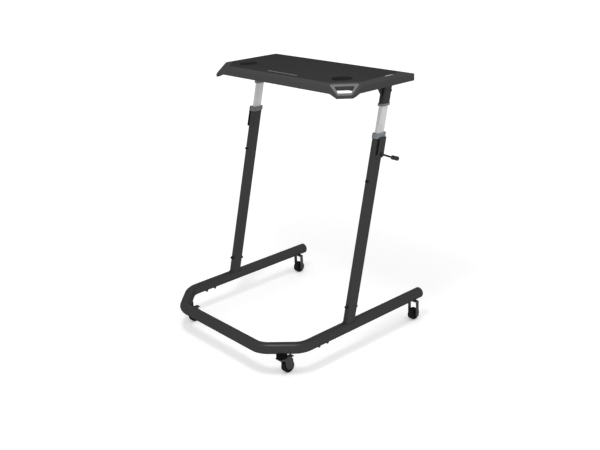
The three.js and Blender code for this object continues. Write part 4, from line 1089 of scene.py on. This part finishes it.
def make_mat():
    spare = MAT_RIM + 0.5 * MM
    inset = RIM_DRAFT + BEVEL_W + spare
    corners = desk_outline(inset, MAT_CUT, MAT_BACK_CUT, MAT_TAPER, BACK_BEVEL + spare)
    corners[:2] = [(x, y + MAT_FRONT_JOINT) for x, y in corners[:2]]
    outline = soften(corners, MAT_CORNER_R)
    mat = to_object(moved(prism(outline, DESK_TOP - MAT_T, DESK_TOP), shift(X_SHIFT)), "mat_skin")
    cutters = []
    for _, side in SIDES:
        cutters.append(cup_cylinder(side, CUP_R + GAP, DESK_TOP - CUT_CLEAR, DESK_TOP + CUT_CLEAR))
    cutters.append(tray_prism(GAP, DESK_TOP - CUT_CLEAR, DESK_TOP + CUT_CLEAR))
    carve(mat, cutters)
    dress(mat, "mat_rubber", "lift", ["desk_mat"], bevel=0.5 * MM, sharp=30, segments=2)


def make_painted_wells_and_groove():
    """Painted shade in the cup wells, as dark liners, and a painted highlight on the back wall of the tablet
    groove, as a pale strip.
    """
    skin = 0.4 * MM
    floor = DESK_TOP - CUP_DEPTH + 0.1 * MM
    rim = DESK_TOP - MAT_T
    radius = CUP_R - 0.1 * MM
    for tag, side in SIDES:
        # Dark liner in each cup well: painted shade in the recess
        well_shade = lathe([
            (0, floor), (radius, floor), (radius, rim), (radius - skin, rim),
            (radius - skin, floor + 1.5 * MM), (radius - skin - 1.5 * MM, floor + skin), (0, floor + skin),
        ], FINE)
        well_shade.transform(cup_place(side))
        piece(well_shade, "cup_well_shade_" + tag, "well_painted_shade", "lift", slot="desk_plastic", sharp=40)
    wall = TRAY_Y + TRAY_D / 2
    half = TRAY_W / 2 - 4 * MM
    # Pale strip on the groove's back wall: a painted highlight where light catches the wall
    strip = block(
        -half + X_SHIFT, half + X_SHIFT, wall - 0.5 * MM, wall - 0.1 * MM,
        DESK_TOP - TRAY_SINK + 0.5 * MM, DESK_TOP - 0.4 * MM,
    )
    piece(strip, "groove_highlight_strip", "groove_painted_highlight", "lift", slot="desk_plastic")


def make_bezels():
    for tag, side in SIDES:
        outer = soften(grip_outline(BEZEL_TOP_W, BEZEL_FOOT_W, BEZEL_BAND), BEZEL_CORNER_R)
        inner = soften(grip_outline(GRIP_TOP_W, GRIP_FOOT_W, 0), SMALL_R)
        made = loft(
            [lifted(outer, GAP), lifted(outer, GAP + BEZEL_T)],
            [lifted(inner, GAP), lifted(inner, GAP + BEZEL_T)],
        )
        to_corner(made, side)
        skin(made, "grip_bezel", tag, "bezel_plastic", "lift", bevel=0.5 * MM)


def make_ridge_glints():
    """Pale lens-shaped strips set into the top edge of each side's bevel: a painted glint of light on the
    ridge.
    """
    along_share = (GLINT_Y - DESK_FRONT - FRONT_CUT) / (DESK_D - BACK_BEVEL - MAT_BACK_CUT - FRONT_CUT)
    edge_x = DESK_W / 2 - RIM_DRAFT - BEVEL_W - MAT_TAPER * along_share
    tilt = atan2(BEVEL_RISE, BEVEL_W + MAT_TAPER * along_share)
    turn = atan2(MAT_TAPER, DESK_D)
    for tag, side in SIDES:
        steps = 12
        outline = []
        for way in (1, -1):
            for i in range(steps):
                t = way * (-1 + 2 * i / steps)
                outline.append((way * -GLINT_HALF_W * (1 - t * t), t * GLINT_HALF_L))
        made = loft([
            level(outline, -0.8 * MM), level(outline, 0.15 * MM),
            level([(x * 0.8, y * 0.94) for x, y in outline], 0.4 * MM),
        ])
        made.transform(
            shift(edge_x + GLINT_OUT, GLINT_Y, DESK_TOP - GLINT_OUT * tan(tilt))
            @ turned(turn, "Z") @ turned(tilt, "Y")
        )
        to_side(made, side)
        made.transform(shift(X_SHIFT))
        piece(made, "ridge_glint_" + tag, "glint_painted_pale", "lift", slot="desk_plastic", sharp=50)


# Casters

def wheel(x, y):
    half = WHEEL_W / 2
    profile = [
        (3.3 * MM, -half + 0.6 * MM), (6.4 * MM, -half + 0.6 * MM), (7.4 * MM, -half + 1.2 * MM),
        (7.4 * MM, -half + 3.4 * MM), (17.5 * MM, -half + 3.4 * MM), (18.2 * MM, -half + 0.8 * MM),
        (18.8 * MM, -half + 0.3 * MM), (20.6 * MM, -half), (22.6 * MM, -half),
        (24 * MM, -half + 0.5 * MM), (24.8 * MM, -half + 1.5 * MM), (WHEEL_R, -half + 3 * MM),
    ]
    profile += [(r, -h) for r, h in reversed(profile)]
    rings = [level(circle(r, 56), h) for r, h in profile + profile[:1]]
    made = loft(rings, ends=False)
    weld(made)
    made.transform(turned(QUARTER, "Y"))
    for i in range(6):
        for face in (-1, 1):
            rib = block(-RIB_T / 2, RIB_T / 2, 7 * MM, 18 * MM, 0, RIB_DEEP)
            rib.transform(turned(QUARTER, "Y") @ turned(QUARTER, "Z"))
            rib.transform(shift(face * (half - RIB_SINK) - RIB_DEEP / 2))
            rib.transform(turned(i * pi / 3, "X"))
            made = joined(made, rib)
    made.transform(shift(x, y, WHEEL_R))
    return made


def axle(span, x, y):
    heads = []
    for way in (-1, 1):
        head = screw(head_r=5.5 * MM, head_h=3.4 * MM, shank_r=3 * MM, shank_l=span / 2)
        heads.append(moved(head, shift(way * (span / 2 + GAP)) @ turned(-way * QUARTER, "Y")))
    return moved(joined(*heads), shift(x, y, WHEEL_R))


def make_front_caster(tag, side):
    x = side * SWIVEL_X + X_SHIFT
    mount_low = RAIL_UNDER - MOUNT_H
    mount_top = RAIL_UNDER + 7 * MM
    mount = to_object(lathe([
        (0, mount_low), (MOUNT_R - 1 * MM, mount_low), (MOUNT_R, mount_low + 1 * MM),
        (MOUNT_R, mount_top - 0.5 * MM), (MOUNT_R - 0.6 * MM, mount_top), (0, mount_top),
    ], 48), "caster_mount_skin_" + tag)
    saddle = rod(RAIL_R + GAP, SADDLE_REACH, FINE, "Y")
    saddle.transform(shift(0, 0, RAIL_Z) @ turned(-side * pi / 4, "Z"))
    carve(mount, [saddle])
    mount.data.transform(shift(x, SWIVEL_Y, 0))
    dress(mount, "mount_dark", "base", ["caster_mount_" + tag], slot="caster_plastic", sharp=30)

    top = mount_low - GAP
    low = top - CROWN_T
    hub = 15 * MM
    round_axle = ((1.1, 2), (1.15, 0.3), (0.6, -0.7), (-0.5, -0.7), (-1.2, 0.2), (-1.4, 2.1))
    cheek = soften(
        [(-CROWN_R, top), (CROWN_R + TRAIL / 4, top)]
        + [(TRAIL + hub * back, WHEEL_R + hub * rise) for back, rise in round_axle]
        + [(-CROWN_R, low - 1.2 * MM)],
        7 * MM, 6,
    )
    inner = FORK_GAP / 2
    for name, x0, x1 in (("near", -inner - CHEEK, -inner), ("far", inner, inner + CHEEK)):
        plate = on_side(cheek, x0, x1)
        plate.transform(shift(x, SWIVEL_Y, 0))
        piece(plate, "fork_cheek_%s_%s" % (name, tag), "caster_plastic", "swivel_" + tag,
              ["caster_fork_" + tag], bevel=0.8 * MM)
    # The hood joins the cheeks over the wheel's front
    hood = soften([
        (-CROWN_R, top), (CROWN_R * 0.5, top), (CROWN_R * 0.5, low), (-CROWN_R + 3 * MM, low),
        (-CROWN_R, low - 1 * MM),
    ], 1.5 * MM)
    bridge = on_side(hood, -inner, inner)
    bridge.transform(shift(x, SWIVEL_Y, 0))
    piece(bridge, "fork_hood_" + tag, "caster_plastic", "swivel_" + tag, bevel=0.5 * MM)
    crown = lathe([(0, low), (CROWN_R - 1 * MM, low), (CROWN_R, low + 1 * MM), (CROWN_R, top), (0, top)], 48)
    crown.transform(shift(x, SWIVEL_Y, 0))
    piece(crown, "fork_crown_" + tag, "caster_plastic", "swivel_" + tag, sharp=40)

    skin(wheel(x, SWIVEL_Y + TRAIL), "front_wheel", tag, "wheel_rubber", "front_roller_" + tag)
    bolt = axle(FORK_GAP + 2 * CHEEK, x, SWIVEL_Y + TRAIL)
    skin(bolt, "front_axle", tag, "dark_bolt", "swivel_" + tag, slot="steel")

    pedal_y = TRAIL + 5 * MM
    pedal_z = low - 4.8 * MM
    tread = soften([
        (0, -PEDAL_HALF_T), (PEDAL_L, -PEDAL_HALF_T), (PEDAL_L, PEDAL_HALF_T), (0, PEDAL_HALF_T),
    ], 1.5 * MM)
    barrel = rod(4.5 * MM, 11.7 * MM, 32, "X")
    pin = rod(2 * MM, 15 * MM, 16, "X")
    pedal = joined(on_side(tread, -PEDAL_HALF_W, PEDAL_HALF_W), barrel, pin)
    for i in range(4):
        ridge = block(-9 * MM, 9 * MM, (8 + 3 * i) * MM, (9.2 + 3 * i) * MM, 1.6 * MM, 2.6 * MM)
        pedal = joined(pedal, ridge)
    pedal.transform(shift(x, SWIVEL_Y + pedal_y, pedal_z))
    skin(pedal, "brake_pedal", tag, "caster_plastic", "brake_" + tag)


def make_rear_caster(tag, side):
    x = side * RAIL_X + X_SHIFT
    top = RAIL_UNDER - GAP
    inner = REAR_GAP / 2
    outer = inner + CHEEK
    foot = WHEEL_R - LEG_D / 2
    # An arch of flat bar: down one leg, over the top and down the other
    arch = soften([
        (-outer, foot), (-inner, foot), (-inner, top - 6 * MM), (inner, top - 6 * MM), (inner, foot),
        (outer, foot), (outer, top), (-outer, top),
    ], 2.5 * MM)
    made = prism(arch, -LEG_D / 2, LEG_D / 2)
    made.transform(turned(QUARTER, "X"))
    made.transform(shift(x, REAR_WHEEL_Y, 0))
    skin(made, "rear_fork", tag, "caster_plastic", "base", bevel=0.8 * MM)
    skin(wheel(x, REAR_WHEEL_Y), "rear_wheel", tag, "wheel_rubber", "rear_roller_" + tag)
    bolt = axle(REAR_GAP + 2 * CHEEK, x, REAR_WHEEL_Y)
    skin(bolt, "rear_axle", tag, "dark_bolt", "base", slot="steel")


def paint_solids():
    """Solids that show as they are take their slot's finish."""
    slots = {entry["node"]: entry["material_slot"] for entry in frame["record"]["subparts"]}
    for name, thing in frame["nodes"].items():
        for spot in thing.material_slots:
            spot.material = LOOKS[slots[name]]


# Studio

def seen_rays(tree):
    """1 for the rays that show the backdrop: those of the camera, of reflections and of glass."""
    path = tree.nodes.new("ShaderNodeLightPath")
    total = path.outputs["Is Camera Ray"]
    for name in ("Is Glossy Ray", "Is Transmission Ray"):
        both = tree.nodes.new("ShaderNodeMath")
        both.use_clamp = True
        tree.links.new(total, both.inputs[0])
        tree.links.new(path.outputs[name], both.inputs[1])
        total = both.outputs["Value"]
    return total


def choose(tree, unseen, seen):
    """The first shader for the light on things, the second for the rays that show the backdrop."""
    mix = tree.nodes.new("ShaderNodeMixShader")
    tree.links.new(seen_rays(tree), mix.inputs["Fac"])
    tree.links.new(unseen, mix.inputs[1])
    tree.links.new(seen, mix.inputs[2])
    return mix.outputs["Shader"]


def make_floor():
    half = FLOOR_HALF
    floor = bmesh.new()
    square = ((-half, -half), (half, -half), (half, half), (-half, half))
    floor.faces.new([floor.verts.new((x, y, -FLOOR_DROP)) for x, y in square])
    ground = to_object(floor, "floor")
    paper = bpy.data.materials.new("floor_paper")
    paper.use_nodes = True
    tree = paper.node_tree
    link = tree.links.new
    shader = tree.nodes["Principled BSDF"]
    shader.inputs["Base Color"].default_value = (*grey(FLOOR_TONE), 1)
    shader.inputs["Roughness"].default_value = FLOOR_ROUGH
    shader.inputs["Specular IOR Level"].default_value = FLOOR_GLEAM
    # The paper stays white to the eye where the lamp's light fades
    where = tree.nodes.new("ShaderNodeTexCoord")
    reach = vector_node(tree, "LENGTH")
    link(where.outputs["Object"], reach.inputs[0])
    fade = node(tree, "ShaderNodeMapRange", From_Max=LIFT_REACH, To_Min=LIFT_NEAR, To_Max=LIFT_FAR)
    link(reach.outputs["Value"], fade.inputs["Value"])
    glow = tree.nodes.new("ShaderNodeEmission")
    link(fade.outputs["Result"], glow.inputs["Strength"])
    unlit = node(tree, "ShaderNodeEmission", Strength=0.0)
    both = tree.nodes.new("ShaderNodeAddShader")
    link(shader.outputs["BSDF"], both.inputs[0])
    link(choose(tree, unlit.outputs["Emission"], glow.outputs["Emission"]), both.inputs[1])
    link(both.outputs["Shader"], tree.nodes["Material Output"].inputs["Surface"])
    ground.data.materials.append(paper)


def make_sky():
    """Light from all round, more of it from the horizon, the right and the back."""
    world = bpy.data.worlds.new("studio")
    bpy.context.scene.world = world
    world.use_nodes = True
    tree = world.node_tree
    link = tree.links.new
    tree.nodes.clear()
    fill = node(tree, "ShaderNodeBackground", Color=(1, 1, 1, 1))
    where = tree.nodes.new("ShaderNodeTexCoord")
    parts = tree.nodes.new("ShaderNodeSeparateXYZ")
    link(where.outputs["Generated"], parts.inputs["Vector"])
    side = vector_node(tree, "DOT_PRODUCT")
    side.inputs[1].default_value = SKY_SIDES
    link(where.outputs["Generated"], side.inputs[0])
    rise = node(tree, "ShaderNodeMapRange", To_Min=SKY_HORIZON, To_Max=SKY_ZENITH)
    link(parts.outputs["Z"], rise.inputs["Value"])
    total = tree.nodes.new("ShaderNodeMath")
    link(rise.outputs["Result"], total.inputs[0])
    link(side.outputs["Value"], total.inputs[1])
    link(total.outputs["Value"], fill.inputs["Strength"])
    white = node(tree, "ShaderNodeBackground", Color=(1, 1, 1, 1), Strength=BACKDROP)
    end = tree.nodes.new("ShaderNodeOutputWorld")
    link(choose(tree, fill.outputs["Background"], white.outputs["Background"]), end.inputs["Surface"])


def make_lamp():
    data = bpy.data.lights.new("softbox", "AREA")
    data.shape = "SQUARE"
    data.size = LAMP_SIZE
    data.energy = LAMP_POWER
    lamp = add_object("softbox", data)
    aim = Vector(LAMP_TARGET) - Vector(LAMP_AT)
    lamp.matrix_world = Matrix.Translation(LAMP_AT) @ aim.to_track_quat("-Z", "Y").to_matrix().to_4x4()


place_camera()
paint_solids()
make_base()
for tag, side in SIDES:
    make_post(tag, side)
    make_collar(tag, side)
    make_gearbox(tag, side)
    make_inner(tag, side)
    make_sleeve(tag, side)
    make_front_caster(tag, side)
    make_rear_caster(tag, side)
make_crank()
make_desktop()
make_mat()
make_bezels()
make_painted_wells_and_groove()
make_ridge_glints()
make_floor()
make_sky()
make_lamp()
bpy.context.scene.view_settings.view_transform = "Standard"
